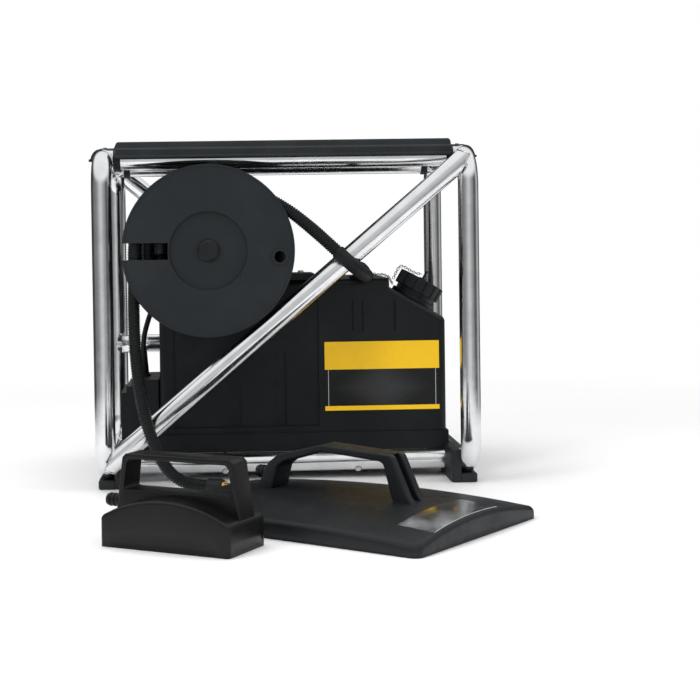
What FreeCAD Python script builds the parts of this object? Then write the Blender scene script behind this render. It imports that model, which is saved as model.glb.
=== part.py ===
"""Wallpaper steamer: a water tank and a steam hose reel in a chromed tube cage, with two steam plates.

Millimetres, +Z up. The front of the cage faces -Y. Sub-parts are drawn in cage coordinates: X from the
middle between the two side hoops, Y back from the plane of the front posts, Z up from the floor. Every
placement adds cage_x and cage_y, which put the origin under the middle of the whole object.
"""
import FreeCAD, Part
import math
import os
import re

import Sketcher
from FreeCAD import Placement, Rotation, Vector

doc = FreeCAD.newDocument("wallpaper_steamer")
sheet = doc.addObject("Spreadsheet::Sheet", "sizes")

SIZES = {
    # where the cage stands in the object's own frame
    "cage_x": -5.915,
    "cage_y": 48.158,
    # clearances
    "fit_gap": 0.3,
    "cope_gap": 0.1,
    "running_gap": 0.05,
    # chromed tubes
    "tube_radius": 12.5,
    "tube_wall": 1.5,
    "hoop_spacing": 450.0,
    "hoop_depth": 300.0,
    "hoop_low": 22.0,
    "hoop_high": 407.0,
    "bend_radius": 38.0,
    "brace_low": 38.7,
    "brace_high": 396.5,
    "top_rail_inset": 38.0,
    "bottom_rail_inset": 71.0,
    "cross_rail_z": 161.0,
    "cross_rail_length": 438.0,
    "end_cap_flange": 1.5,
    "end_cap_crown": 6.0,
    "end_cap_plug": 14.0,
    # top cover
    "cover_rise": 22.3,
    "cover_front": 20.0,
    "cover_overhang": 16.5,
    "cover_wall": 3.0,
    "skirt_rise": 1.0,
    "cover_bevel": 7.5,
    "cover_roof": 6.0,
    "clip_wall": 3.0,
    # feet
    "foot_length": 96.0,
    "foot_start": 14.0,
    "foot_screw_inset": 50.0,
    "cover_screw_inset": 80.0,
    "head_sink": 1.6,
    "screw_bite": 6.0,
    "foot_wall": 5.5,
    "ear_width": 9.0,
    "ear_length": 37.0,
    "ear_wall": 6.0,
    # screws
    "screw_radius": 2.2,
    "head_radius": 4.6,
    "head_height": 2.4,
    "screw_length": 16.0,
    "rail_screw_left": -78.0,
    "rail_screw_right": 91.0,
    "rail_screw_tilt": 50.0,
    # tank
    "tank_left": -160.0,
    "tank_right": 207.0,
    "tank_front": 75.0,
    "tank_rear_gap": 42.0,
    "tank_bottom": 34.8,
    "seam_z": 58.0,
    "tank_top": 254.0,
    "step_x": 135.0,
    "step_drop": 11.0,
    "slope_end_z": 202.0,
    "tank_wall": 4.0,
    "tank_round": 9.0,
    "skirt_lip": 2.0,
    "groove_depth": 2.2,
    "recess_depth": 2.5,
    "recess_edge_x": 43.5,
    "wide_groove_x": -12.4,
    "wide_groove_width": 14.0,
    "wide_groove_top": 163.0,
    "short_groove_x": -67.3,
    "short_groove_width": 10.8,
    "short_groove_top": 122.6,
    "groove_foot": 66.0,
    "vent_groove_x": 86.0,
    "vent_groove_pitch": 12.6,
    "vent_groove_width": 2.6,
    "vent_groove_low": 187.0,
    "vent_groove_high": 226.0,
    "side_groove_x": 140.0,
    "label_width": 147.0,
    "label_height": 90.0,
    "label_x": 124.3,
    "label_z": 128.4,
    "label_thick": 0.6,
    # filler neck and cap
    "neck_x": 168.9,
    "neck_y": 118.0,
    "neck_radius": 26.0,
    "neck_bore": 20.0,
    "neck_height": 24.0,
    "neck_flange": 29.5,
    "neck_flange_height": 6.0,
    "cap_radius": 30.5,
    "cap_lift": 11.9,
    "cap_roof": 3.5,
    "cap_rib_depth": 1.6,
    "cap_rib_width": 6.0,
    "seal_height": 2.0,
    "stud_radius": 3.0,
    "stud_head": 5.0,
    "tab_height": 11.0,
    "tab_width": 5.0,
    "tab_thick": 2.4,
    "tab_eye": 1.4,
    # steam outlet
    "outlet_x": 99.0,
    "outlet_y": 93.0,
    "outlet_radius": 9.0,
    "outlet_bore": 4.5,
    "outlet_rise": 9.0,
    "outlet_flange": 14.0,
    "outlet_flange_thick": 3.0,
    "outlet_arm_length": 13.0,
    "spigot_length": 14.0,
    "spigot_bore": 3.5,
    "eye_radius": 2.6,
    "eye_wire": 0.9,
    "knob_radius": 9.6,
    "knob_length": 12.0,
    # hose
    "hose_radius": 7.8,
    "hose_bore": 5.6,
    "hose_valley": 6.9,
    "rib_pitch": 3.15,
    "sleeve_radius": 8.6,
    # reel
    "reel_x": -95.5,
    "reel_z": 293.5,
    "reel_radius": 105.5,
    "reel_front": -12.0,
    "flange_thick": 3.0,
    "flange_bead": 0.8,
    "rim_width": 2.5,
    "reel_gap": 60.0,
    "back_flange_radius": 99.0,
    "drum_radius": 50.0,
    "drum_wall": 3.0,
    "recess_radius": 48.0,
    "recess_set": 4.0,
    "dish_depth": 4.0,
    "dish_thick": 3.0,
    "slot_height": 20.5,
    "slot_wall": 1.2,
    "crank_radius": 7.0,
    "crank_ring": 10.0,
    "crank_ring_height": 1.8,
    "crank_reach": 87.5,
    "crank_drop": 5.6,
    "axle_radius": 10.0,
    "hub_wall": 5.0,
    "axle_tail": 8.0,
    "collar_width": 3.0,
    "axle_cap_radius": 13.6,
    "axle_cap_height": 5.0,
    "winding_radius": 91.0,
    "winding_pitch": 16.4,
    "core_gap": 0.5,
    "lane_slack": 0.4,
    # reel bracket
    "bracket_left": -150.0,
    "bracket_right": 38.0,
    "bracket_thick": 5.0,
    "bracket_depth": 70.0,
    "bracket_base": 8.0,
    "bracket_head": 24.0,
    # large steam plate
    "large_x": 52.0,
    "large_y": -211.9,
    "large_turn": -39.0,
    "large_length": 330.0,
    "large_width": 250.0,
    "large_crown": 33.0,
    "large_bow": 1800.0,
    "large_arch": 546.0,
    "large_corner": 10.0,
    "plate_wall": 3.0,
    "baffle_z": 6.0,
    "baffle_thick": 1.0,
    "baffle_hole": 3.0,
    "handle_across": -8.0,
    "handle_left": 110.0,
    "handle_right": 97.0,
    "handle_foot": 24.0,
    "handle_knee": 91.0,
    "handle_knee_z": 59.0,
    "handle_shoulder": 77.0,
    "handle_shoulder_z": 69.0,
    "handle_peak_x": 18.0,
    "handle_peak": 84.0,
    "handle_turn_x": 71.0,
    "handle_turn_z": 79.0,
    "handle_leg": 24.0,
    "handle_bar": 8.0,
    "handle_width": 30.0,
    "handle_slot": 10.0,
    "large_inlet_z": 46.0,
    "sticker_along": 140.0,
    "sticker_across": -24.0,
    "sticker_length": 42.0,
    "sticker_width": 128.0,
    "sticker_thick": 0.5,
    # small steam plate
    "small_x": -125.5,
    "small_y": -324.5,
    "small_turn": -30.0,
    "small_length": 150.0,
    "small_width": 74.0,
    "small_end": 30.5,
    "small_crest": 50.5,
    "small_corner": 4.0,
    "small_handle_across": 5.0,
    "small_handle_foot": 73.0,
    "small_handle_reach": 65.0,
    "small_handle_top": 91.0,
    "small_handle_width": 30.0,
    "small_handle_bar": 5.5,
    "small_handle_bevel": 4.0,
    "small_spine": 54.5,
    "small_inlet_z": 39.9,
    "inlet_radius": 7.0,
    "inlet_length": 20.0,
    "inlet_root": 3.0,
    "inlet_rib": 1.0,
    # heater housing on the left of the tank
    "housing_left": -211.0,
    "housing_front": 96.0,
    "housing_back": 206.0,
    "housing_top": 127.0,
    "housing_wall": 2.5,
    "ledge_drop": 8.0,
    "ledge_step": 7.0,
    "element_radius": 4.0,
    "element_reach": 230.0,
    "element_z": 78.0,
    "element_gap": 26.0,
    "element_flange": 19.5,
    "terminal_length": 12.0,
    "thermostat_radius": 8.0,
    "thermostat_length": 12.0,
    # mains lead
    "lead_radius": 3.4,
    "gland_x": -183.5,
    "gland_y": 150.0,
    "gland_height": 34.0,
    "gland_radius": 7.0,
    "clip_x": -170.0,
    "clip_z": 226.0,
    "clip_height": 10.0,
    "lead_clip_wall": 2.5,
    "clip_slack": 0.9,
    "coil_x": -60.0,
    "coil_y": 400.0,
    "coil_radius": 37.5,
    "coil_pitch": 7.4,
    "plug_radius": 17.0,
    "plug_length": 34.0,
    "plug_relief": 20.0,
    "pin_radius": 2.4,
    "pin_length": 19.0,
    "pin_spacing": 19.0,
    # hose connector
    "connector_radius": 9.6,
    "connector_length": 21.0,
    "nozzle_radius": 4.4,
    "nozzle_tip": 2.6,
    "nozzle_bore": 1.6,
    "nozzle_length": 17.0,
    "nozzle_barrel": 9.0,
    "nozzle_ring": 7.4,
    "nozzle_ring_length": 3.0,
    # cap chain
    "link_radius": 2.2,
    "link_wire": 0.5,
    "link_pitch": 3.05,
}

for row, (alias, value) in enumerate(SIZES.items(), start=1):
    sheet.set(f"A{row}", alias)
    sheet.set(f"B{row}", str(value))
    sheet.setAlias(f"B{row}", alias)
doc.recompute()

parts = []
TOWARDS_FRONT = Rotation(Vector(1, 0, 0), 90)
ALONG_X = Rotation(Vector(0, 1, 0), 90)
ALONG_Y = Rotation(Vector(1, 0, 0), -90)
UPRIGHT = Rotation()


def size(alias):
    """Number in one cell of the sheet."""
    return float(sheet.get(alias))


def bound(text):
    """Expression text in which every alias reads its cell of the sheet."""
    return re.sub(r"\b[a-z]+_\w+\b", r"sizes.\g<0>", text)


def bind(piece, **expressions):
    """Tie properties of a piece to the sheet."""
    for name, text in expressions.items():
        piece.setExpression(name, bound(text))


def place(piece, x="0", y="0", z="0", rotation=UPRIGHT):
    """Put a piece at a place given in cage coordinates."""
    piece.Placement = Placement(Vector(), rotation)
    piece.setExpression(".Placement.Base.x", bound(f"cage_x + {x}"))
    piece.setExpression(".Placement.Base.y", bound(f"cage_y + {y}"))
    piece.setExpression(".Placement.Base.z", bound(z))


def keep(piece):
    """Count a finished piece as a sub-part; its name is its Label and its file."""
    parts.append(piece)
    return piece


# --- Part primitives and booleans -----------------------------------------------------------------

def box(name, lengths, corner):
    """Box with sizes and lowest corner bound to the sheet."""
    piece = doc.addObject("Part::Box", name)
    bind(piece, Length=lengths[0], Width=lengths[1], Height=lengths[2])
    place(piece, *corner)
    return piece


def cylinder(name, radius, length, start, rotation=UPRIGHT):
    """Round bar from a start point along the rotation's Z."""
    piece = doc.addObject("Part::Cylinder", name)
    bind(piece, Radius=radius, Height=length)
    place(piece, *start, rotation)
    return piece


def cone(name, radii, length, start, rotation=UPRIGHT):
    """Tapered round bar from a start point along the rotation's Z."""
    piece = doc.addObject("Part::Cone", name)
    bind(piece, Radius1=radii[0], Radius2=radii[1], Height=length)
    place(piece, *start, rotation)
    return piece


def fuse(name, *shapes):
    """One solid, or one group of solids, made of several shapes."""
    piece = doc.addObject("Part::MultiFuse", name)
    piece.Shapes = list(shapes)
    return piece


def group(name, *shapes):
    """Separate solids that share one node."""
    piece = doc.addObject("Part::Compound", name)
    piece.Links = list(shapes)
    return piece


def cut(name, base, *tools):
    """A base less one or more tools."""
    piece = doc.addObject("Part::Cut", name)
    piece.Base = base
    piece.Tool = tools[0] if len(tools) == 1 else fuse(f"{name}_tools", *tools)
    return piece


def screw(name, start, length="screw_length", rotation=UPRIGHT):
    """Pan head screw; the start is under the head and the rotation's Z runs along the shank."""
    shank = cylinder(f"{name}_shank", "screw_radius", length, start, rotation)
    head = doc.addObject("Part::Cone", f"{name}_head")
    bind(head, Radius1="head_radius", Radius2="head_radius * 0.7", Height="head_height")
    place(head, *start, rotation * Rotation(Vector(1, 0, 0), 180))
    return fuse(name, shank, head)


# --- PartDesign bodies ----------------------------------------------------------------------------

def body(name, x="0", y="0", z="0", rotation=UPRIGHT):
    """Empty PartDesign body at a place in cage coordinates."""
    piece = doc.addObject("PartDesign::Body", name)
    place(piece, x, y, z, rotation)
    return piece


def sketch_on(piece, role, name, offset="0"):
    """Empty sketch on one origin plane of a body, moved along the plane's normal."""
    plane = next(feature for feature in piece.Origin.OriginFeatures if feature.Role == role)
    sketch = piece.newObject("Sketcher::SketchObject", name)
    sketch.AttachmentSupport = (plane, [""])
    sketch.MapMode = "FlatFace"
    sketch.setExpression(".AttachmentOffset.Base.z", bound(offset))
    return sketch


def hold_point(sketch, edge, end, across, up):
    """Fix one point of a sketch by two dimensions bound to the sheet."""
    guess = sketch.getPoint(edge, end)
    for kind, text, first in (("DistanceX", across, guess.x), ("DistanceY", up, guess.y)):
        number = sketch.addConstraint(Sketcher.Constraint(kind, -1, 1, edge, end, first))
        sketch.setExpression(f"Constraints[{number}]", bound(text))


def outline(piece, role, name, corners, offset="0"):
    """Closed outline of straight sides through corners that are bound to the sheet."""
    sketch = sketch_on(piece, role, name, offset)
    count = len(corners)
    first_guess = [
        Vector(math.cos(2 * math.pi * number / count), math.sin(2 * math.pi * number / count), 0)
        for number in range(count + 1)
    ]
    for number in range(count):
        sketch.addGeometry(Part.LineSegment(first_guess[number], first_guess[number + 1]))
    for number in range(count):
        sketch.addConstraint(Sketcher.Constraint("Coincident", number, 2, (number + 1) % count, 1))
    for number, (across, up) in enumerate(corners):
        hold_point(sketch, number, 1, across, up)
    return sketch


def rings(piece, role, name, circles, offset="0"):
    """Circles given as centre across, centre up and radius."""
    sketch = sketch_on(piece, role, name, offset)
    for number, (across, up, radius) in enumerate(circles):
        sketch.addGeometry(Part.Circle(Vector(number, 0, 0), Vector(0, 0, 1), 1.0))
        hold_point(sketch, number, 3, across, up)
        limit = sketch.addConstraint(Sketcher.Constraint("Radius", number, 1.0))
        sketch.setExpression(f"Constraints[{limit}]", bound(radius))
    return sketch


def pad(piece, name, sketch, length, backwards=False, both_ways=False):
    """Raise a sketch into a solid."""
    feature = piece.newObject("PartDesign::Pad", name)
    feature.Profile = sketch
    feature.Reversed = backwards
    if both_ways:
        feature.SideType = "Symmetric"
    bind(feature, Length=length)
    return feature


def pocket(piece, name, sketch, depth, backwards=False):
    """Sink a sketch into the body, against the sketch's normal unless it runs backwards."""
    feature = piece.newObject("PartDesign::Pocket", name)
    feature.Profile = sketch
    feature.Reversed = backwards
    bind(feature, Length=depth)
    return feature


def revolve(piece, name, sketch, kind="PartDesign::Revolution"):
    """Turn a sketch a full turn about its own vertical axis."""
    feature = piece.newObject(kind, name)
    feature.Profile = sketch
    feature.ReferenceAxis = (sketch, ["V_Axis"])
    feature.Angle = 360.0
    return feature


def turned(name, corners, x, y, z, rotation=UPRIGHT):
    """Body turned about its Z from an outline of radius and height."""
    piece = body(name, x, y, z, rotation)
    revolve(piece, f"{name}_turning", outline(piece, "XZ_Plane", f"{name}_section", corners))
    return piece


def round_edges(piece, name, radius, wanted, kind="PartDesign::Fillet"):
    """Round or bevel the edges of a body's last feature that a test picks by their box."""
    doc.recompute()
    base = piece.Tip
    names = [f"Edge{n}" for n, edge in enumerate(base.Shape.Edges, start=1) if wanted(edge.BoundBox)]
    feature = piece.newObject(kind, name)
    feature.Base = (base, names)
    if kind == "PartDesign::Fillet":
        bind(feature, Radius=radius)
    else:
        bind(feature, Size=radius)
    return feature


def shaped(name, shape):
    """Sub-part whose shape is worked out in cage coordinates by this file's own code."""
    piece = doc.addObject("Part::Feature", name)
    piece.Shape = shape
    place(piece)
    return keep(piece)


# --- chromed cage ---------------------------------------------------------------------------------

HOOP_SIDES = {"left": "-1", "right": "1"}
ENDS = {"front": "", "rear": "hoop_depth - "}
TUBE_SIDE = "tube_radius + cope_gap"
CROSS_RAIL_Y = "hoop_depth - 2 * tube_radius - fit_gap"
CROSS_SCREW_REACH = "(cross_rail_length + end_cap_crown) / 2"


def hoop_path(piece):
    """Rounded rectangle along the middle of a hoop's tube."""
    low, high, depth, bend = size("hoop_low"), size("hoop_high"), size("hoop_depth"), size("bend_radius")
    sketch = sketch_on(piece, "YZ_Plane", f"{piece.Name}_path")
    runs = [
        (("bend_radius", "hoop_low"), ("hoop_depth - bend_radius", "hoop_low")),
        (("hoop_depth", "hoop_low + bend_radius"), ("hoop_depth", "hoop_high - bend_radius")),
        (("hoop_depth - bend_radius", "hoop_high"), ("bend_radius", "hoop_high")),
        (("0", "hoop_high - bend_radius"), ("0", "hoop_low + bend_radius")),
    ]
    guesses = [
        (Vector(bend, low, 0), Vector(depth - bend, low, 0)),
        (Vector(depth, low + bend, 0), Vector(depth, high - bend, 0)),
        (Vector(depth - bend, high, 0), Vector(bend, high, 0)),
        (Vector(0, high - bend, 0), Vector(0, low + bend, 0)),
    ]
    centres = [
        Vector(depth - bend, low + bend, 0),
        Vector(depth - bend, high - bend, 0),
        Vector(bend, high - bend, 0),
        Vector(bend, low + bend, 0),
    ]
    for run, (start, end) in enumerate(guesses):
        sketch.addGeometry(Part.LineSegment(start, end))
        quarter = math.pi / 2
        circle = Part.Circle(centres[run], Vector(0, 0, 1), bend)
        sketch.addGeometry(Part.ArcOfCircle(circle, (run - 1) * quarter, run * quarter))
    for run, (start, end) in enumerate(runs):
        line, arc, next_line = 2 * run, 2 * run + 1, (2 * run + 2) % 8
        hold_point(sketch, line, 1, *start)
        hold_point(sketch, line, 2, *end)
        sketch.addConstraint(Sketcher.Constraint("Coincident", line, 2, arc, 1))
        sketch.addConstraint(Sketcher.Constraint("Coincident", arc, 2, next_line, 1))
        limit = sketch.addConstraint(Sketcher.Constraint("Radius", arc, bend))
        sketch.setExpression(f"Constraints[{limit}]", bound("bend_radius"))
    return sketch


def swept_hoop(name, side, kinds_and_radii):
    """Body swept round the hoop's path, outer tube first and then its bore."""
    piece = body(name, f"{side} * hoop_spacing / 2")
    path = hoop_path(piece)
    for kind, radius in kinds_and_radii:
        section = rings(piece, "XZ_Plane", f"{name}_{kind[12:]}_section",
                        [("0", "hoop_low", radius)], "0 - hoop_depth / 2")
        feature = piece.newObject(kind, f"{name}_{kind[12:]}")
        feature.Profile = section
        feature.Spine = path
    return piece


def cross_screw_hole(name, side):
    """Hole through an end cap of the rear cross rail and the front wall of the post behind it."""
    return cylinder(name, "screw_radius + cope_gap", "2 * tube_radius + fit_gap + screw_bite + cope_gap",
                    (f"{side} * {CROSS_SCREW_REACH}", f"{CROSS_RAIL_Y} - tube_radius", "cross_rail_z"),
                    ALONG_Y)


def make_hoops():
    """Two side hoops, drilled for the screws of the cover and the feet."""
    for label, side in HOOP_SIDES.items():
        tube = swept_hoop(f"{label}_hoop_tube", side, [
            ("PartDesign::AdditivePipe", "tube_radius"),
            ("PartDesign::SubtractivePipe", "tube_radius - tube_wall"),
        ])
        drills = []
        for end, start in ENDS.items():
            for level, height in (("top", "hoop_high"), ("foot", "hoop_low")):
                inset = "cover_screw_inset" if level == "top" else "foot_screw_inset"
                drills.append(cylinder(
                    f"{label}_{end}_{level}_drill", "screw_radius + cope_gap", "4 * tube_radius",
                    (f"{side} * hoop_spacing / 2", f"{start}{inset}", f"{height} - 2 * tube_radius")))
        drills.append(cross_screw_hole(f"{label}_rail_drill", side))
        keep(cut(f"{label}_hoop", tube, *drills))


def straight_tube(name, length, start, rotation, *tools):
    """Chromed tube with open ends."""
    outer = cylinder(f"{name}_outer", "tube_radius", length, start, rotation)
    inner = cylinder(f"{name}_bore", "tube_radius - tube_wall", length, start, rotation)
    return keep(cut(name, outer, inner, *tools))


def rail_screw_turn(end):
    """Screws lean in under the tank from the outer lower side of a bottom rail."""
    lean = 90 - size("rail_screw_tilt")
    return Rotation(Vector(1, 0, 0), -lean if end == "front" else lean)


def rail_screw_point(end, where, reach):
    """Point on a rail screw's line, a reach outside and below the middle of the rail."""
    sign = "-" if end == "front" else "+"
    across = f"({reach}) * cos(rail_screw_tilt * 1 deg)"
    down = f"({reach}) * sin(rail_screw_tilt * 1 deg)"
    return f"rail_screw_{where}", f"{ENDS[end]}bottom_rail_inset {sign} {across}", f"hoop_low - {down}"


def rail_screw_holes(name, end):
    """Two tilted holes through a bottom rail."""
    return [
        cylinder(f"{name}_{where}_hole", "screw_radius + cope_gap", "4 * tube_radius",
                 rail_screw_point(end, where, "2 * tube_radius"), rail_screw_turn(end))
        for where in ("left", "right")
    ]


def make_rails():
    """Rails between the hoops at the top, at the floor and across the back."""
    for end, start in ENDS.items():
        straight_tube(f"top_{end}_rail", f"hoop_spacing - 2 * ({TUBE_SIDE})",
                      (f"0 - hoop_spacing / 2 + {TUBE_SIDE}", f"{start}top_rail_inset", "hoop_high"), ALONG_X)
        straight_tube(f"bottom_{end}_rail", f"hoop_spacing - 2 * ({TUBE_SIDE})",
                      (f"0 - hoop_spacing / 2 + {TUBE_SIDE}", f"{start}bottom_rail_inset", "hoop_low"),
                      ALONG_X,
                      *rail_screw_holes(f"bottom_{end}_rail", end))
    straight_tube("rear_cross_rail", "cross_rail_length",
                  ("0 - cross_rail_length / 2", CROSS_RAIL_Y, "cross_rail_z"), ALONG_X)


def make_braces():
    """Diagonal tubes in the planes of the front and rear posts, cut off upright where they meet the posts."""
    rise = "(brace_high - brace_low)"
    reach = f"(hoop_spacing - 2 * ({TUBE_SIDE}))"
    for name, turn_axis, side, y in (("front_brace", 1, "-1", "0"), ("rear_brace", -1, "1", "hoop_depth")):
        bars = []
        for suffix, radius in (("outer", "tube_radius"), ("bore", "tube_radius - tube_wall")):
            bar = cylinder(f"{name}_{suffix}", radius, f"sqrt({rise} ^ 2 + {reach} ^ 2) + 4 * tube_radius",
                           (f"{side} * ({reach} / 2"
                            f" + 2 * tube_radius * {reach} / sqrt({rise} ^ 2 + {reach} ^ 2))",
                            y, f"brace_low - 2 * tube_radius * {rise} / sqrt({rise} ^ 2 + {reach} ^ 2)"),
                           Rotation(Vector(0, turn_axis, 0), 45))
            bar.setExpression(".Placement.Rotation.Angle", bound(f"atan({reach} / {rise})"))
            bars.append(bar)
        window = box(f"{name}_window", (reach, "4 * tube_radius", "2 * hoop_high"),
                     (f"0 - {reach} / 2", f"{y} - 2 * tube_radius", "0 - hoop_high / 2"))
        tube = cut(f"{name}_tube", *bars)
        trimmed = doc.addObject("Part::Common", name)
        trimmed.Base = tube
        trimmed.Tool = window
        keep(trimmed)


def make_end_caps():
    """Black domed plugs in the open ends of the rear cross rail."""
    plug = "tube_radius - tube_wall - cope_gap"
    caps = []
    for label, side in HOOP_SIDES.items():
        turn = Rotation(Vector(0, 1, 0), -90 if label == "left" else 90)
        cap = turned(f"{label}_end_cap_moulding", [
            ("0", "0 - end_cap_plug"), (plug, "0 - end_cap_plug"), (plug, "0"), ("tube_radius", "0"),
            ("tube_radius", "end_cap_flange"), ("tube_radius * 0.75", "end_cap_crown"),
            ("0", "end_cap_crown"),
        ], f"{side} * cross_rail_length / 2", CROSS_RAIL_Y, "cross_rail_z", turn)
        caps.append(cut(f"{label}_end_cap", cap, cross_screw_hole(f"{label}_end_cap_hole", side)))
    keep(group("cross_rail_caps", *caps))


def make_top_cover():
    """Moulded cover that clips over the hoops' top runs and hides the top rails."""
    piece = body("top_cover_moulding")
    length = "hoop_spacing + 2 * cover_overhang"
    back = "hoop_depth - cover_front"
    crest, skirt = "hoop_high + cover_rise", "hoop_high + skirt_rise"
    pad(piece, "cover_block", outline(piece, "YZ_Plane", "cover_section", [
        ("cover_front", skirt), ("cover_front", f"{crest} - cover_bevel"),
        ("cover_front + cover_bevel", crest), (f"{back} - cover_bevel", crest),
        (back, f"{crest} - cover_bevel"), (back, skirt),
    ]), length, both_ways=True)
    top = size("hoop_high") + size("cover_rise")
    round_edges(piece, "cover_end_bevels", "cover_bevel",
                lambda edge: (edge.XLength < 0.01 and abs(edge.ZMin - top) < 0.01
                              and abs(edge.ZMax - top) < 0.01),
                "PartDesign::Chamfer")
    inner = "(hoop_spacing / 2 - tube_radius - clip_wall)"
    inside = outline(piece, "XY_Plane", "cover_inside", [
        (f"0 - {inner}", "cover_front + cover_wall"), (inner, "cover_front + cover_wall"),
        (inner, f"{back} - cover_wall"), (f"0 - {inner}", f"{back} - cover_wall"),
    ], skirt)
    pocket(piece, "cover_hollow", inside, "cover_rise - cover_roof - skirt_rise", backwards=True)
    tools = []
    for label, side in HOOP_SIDES.items():
        tools.append(cylinder(f"cover_{label}_channel", "tube_radius + fit_gap", "hoop_depth",
                              (f"{side} * hoop_spacing / 2", "0", "hoop_high"), ALONG_Y))
        for end, start in ENDS.items():
            tools.append(cylinder(f"cover_{label}_{end}_pilot", "screw_radius + cope_gap", "screw_length",
                                  (f"{side} * hoop_spacing / 2", f"{start}cover_screw_inset",
                                   "hoop_high + tube_radius - screw_length / 2")))
    for end, start in ENDS.items():
        tools.append(cylinder(f"cover_{end}_rail_way", "tube_radius + fit_gap", "hoop_spacing",
                              ("0 - hoop_spacing / 2", f"{start}top_rail_inset", "hoop_high"), ALONG_X))
    keep(cut("top_cover", piece, *tools))


def make_feet():
    """Saddles under the hoops' bottom runs, with an ear that holds the end of a bottom rail."""
    outer = "(tube_radius + foot_wall)"
    for end, start in ENDS.items():
        for label, side in HOOP_SIDES.items():
            name = f"{end}_{label}_foot"
            hoop_x = f"{side} * hoop_spacing / 2"
            near = "foot_start" if end == "front" else "hoop_depth - foot_start - foot_length"
            rail_y = f"{start}bottom_rail_inset"
            saddle = box(f"{name}_saddle", (f"2 * {outer}", "foot_length", "hoop_low"),
                         (f"{hoop_x} - {outer}", near, "0"))
            ear_side = ("tube_radius + fit_gap + ear_width" if label == "right"
                        else "0 - tube_radius - fit_gap")
            ear = box(f"{name}_ear", ("ear_width", "ear_length", "hoop_low + tube_radius + ear_wall"),
                      (f"{hoop_x} - ({ear_side})", f"{rail_y} - ear_length / 2", "0"))
            channel = cylinder(f"{name}_channel", "tube_radius + fit_gap", "hoop_depth",
                               (hoop_x, "0", "hoop_low"), ALONG_Y)
            socket_length = "(tube_radius + 2 * ear_width)"
            socket_side = socket_length if label == "right" else "0"
            socket = cylinder(f"{name}_socket", "tube_radius + fit_gap", socket_length,
                              (f"{hoop_x} - {socket_side}", rail_y, "hoop_low"), ALONG_X)
            drill_y = f"{start}foot_screw_inset"
            drill = cylinder(f"{name}_drill", "screw_radius + cope_gap", "hoop_low", (hoop_x, drill_y, "0"))
            seat = cylinder(f"{name}_seat", "head_radius + fit_gap", "head_height + head_sink",
                            (hoop_x, drill_y, "0"))
            tray_way = box(f"{name}_tray_way",
                           ("tank_right - tank_left + 2 * (skirt_lip + fit_gap)", "hoop_depth", "hoop_low"),
                           ("tank_left - skirt_lip - fit_gap", "0", "tank_bottom - fit_gap"))
            keep(cut(name, fuse(f"{name}_block", saddle, ear), channel, socket, drill, seat, tray_way))


def make_frame_screws():
    """Screws of the cover, the feet and the rear cross rail."""
    screws = []
    for label, side in HOOP_SIDES.items():
        hoop_x = f"{side} * hoop_spacing / 2"
        for end, start in ENDS.items():
            screws.append(screw(f"cover_screw_{end}_{label}",
                                (hoop_x, f"{start}cover_screw_inset", "hoop_high - tube_radius"),
                                "2 * tube_radius + screw_bite"))
            screws.append(screw(f"foot_screw_{end}_{label}",
                                (hoop_x, f"{start}foot_screw_inset", "head_height + head_sink")))
        screws.append(screw(f"cross_screw_{label}",
                            (f"{side} * {CROSS_SCREW_REACH}", f"{CROSS_RAIL_Y} - tube_radius",
                             "cross_rail_z"),
                            "2 * tube_radius + fit_gap + screw_bite", ALONG_Y))
    keep(group("frame_screws", *screws))


make_hoops()
make_rails()
make_braces()
make_end_caps()
make_top_cover()
make_feet()
make_frame_screws()


# --- water tank -----------------------------------------------------------------------------------

SLOPE = "((tank_top - step_drop - slope_end_z) / (tank_right - step_x))"
SLOPE_FALL = size("tank_top") - size("step_drop") - size("slope_end_z")
SLOPE_TURN = Rotation(Vector(0, 1, 0),
                      math.degrees(math.atan2(SLOPE_FALL, size("tank_right") - size("step_x"))))
TANK_DEPTH = "hoop_depth - tank_rear_gap - tank_front"


def neck_point(along):
    """Point on the filler neck's axis, a length above the slope."""
    return (f"neck_x + ({along}) * {SLOPE} / sqrt(1 + {SLOPE} ^ 2)", "neck_y",
            f"tank_top - step_drop - (neck_x - step_x) * {SLOPE} + ({along}) / sqrt(1 + {SLOPE} ^ 2)")


def tank_corners(inset):
    """Outline of the tank's upper shell seen from the front, moved in by a wall."""
    step_floor = "tank_top - step_drop"
    return [
        (f"tank_left + {inset}", f"seam_z + {inset}"),
        (f"tank_right - {inset}", f"seam_z + {inset}"),
        (f"tank_right - {inset}", f"slope_end_z - {inset} * {SLOPE}"),
        (f"step_x - {inset}", f"{step_floor} - {inset}"),
        (f"step_x - {inset}", f"tank_top - {inset}"),
        (f"tank_left + {inset}", f"tank_top - {inset}"),
    ]


def front_recess(piece, name, left, right, low, high, depth):
    """Shallow rectangular recess in the tank's front face."""
    sketch = outline(piece, "XZ_Plane", f"{name}_outline",
                     [(left, low), (right, low), (right, high), (left, high)], "0 - tank_front")
    pocket(piece, name, sketch, depth)


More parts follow.
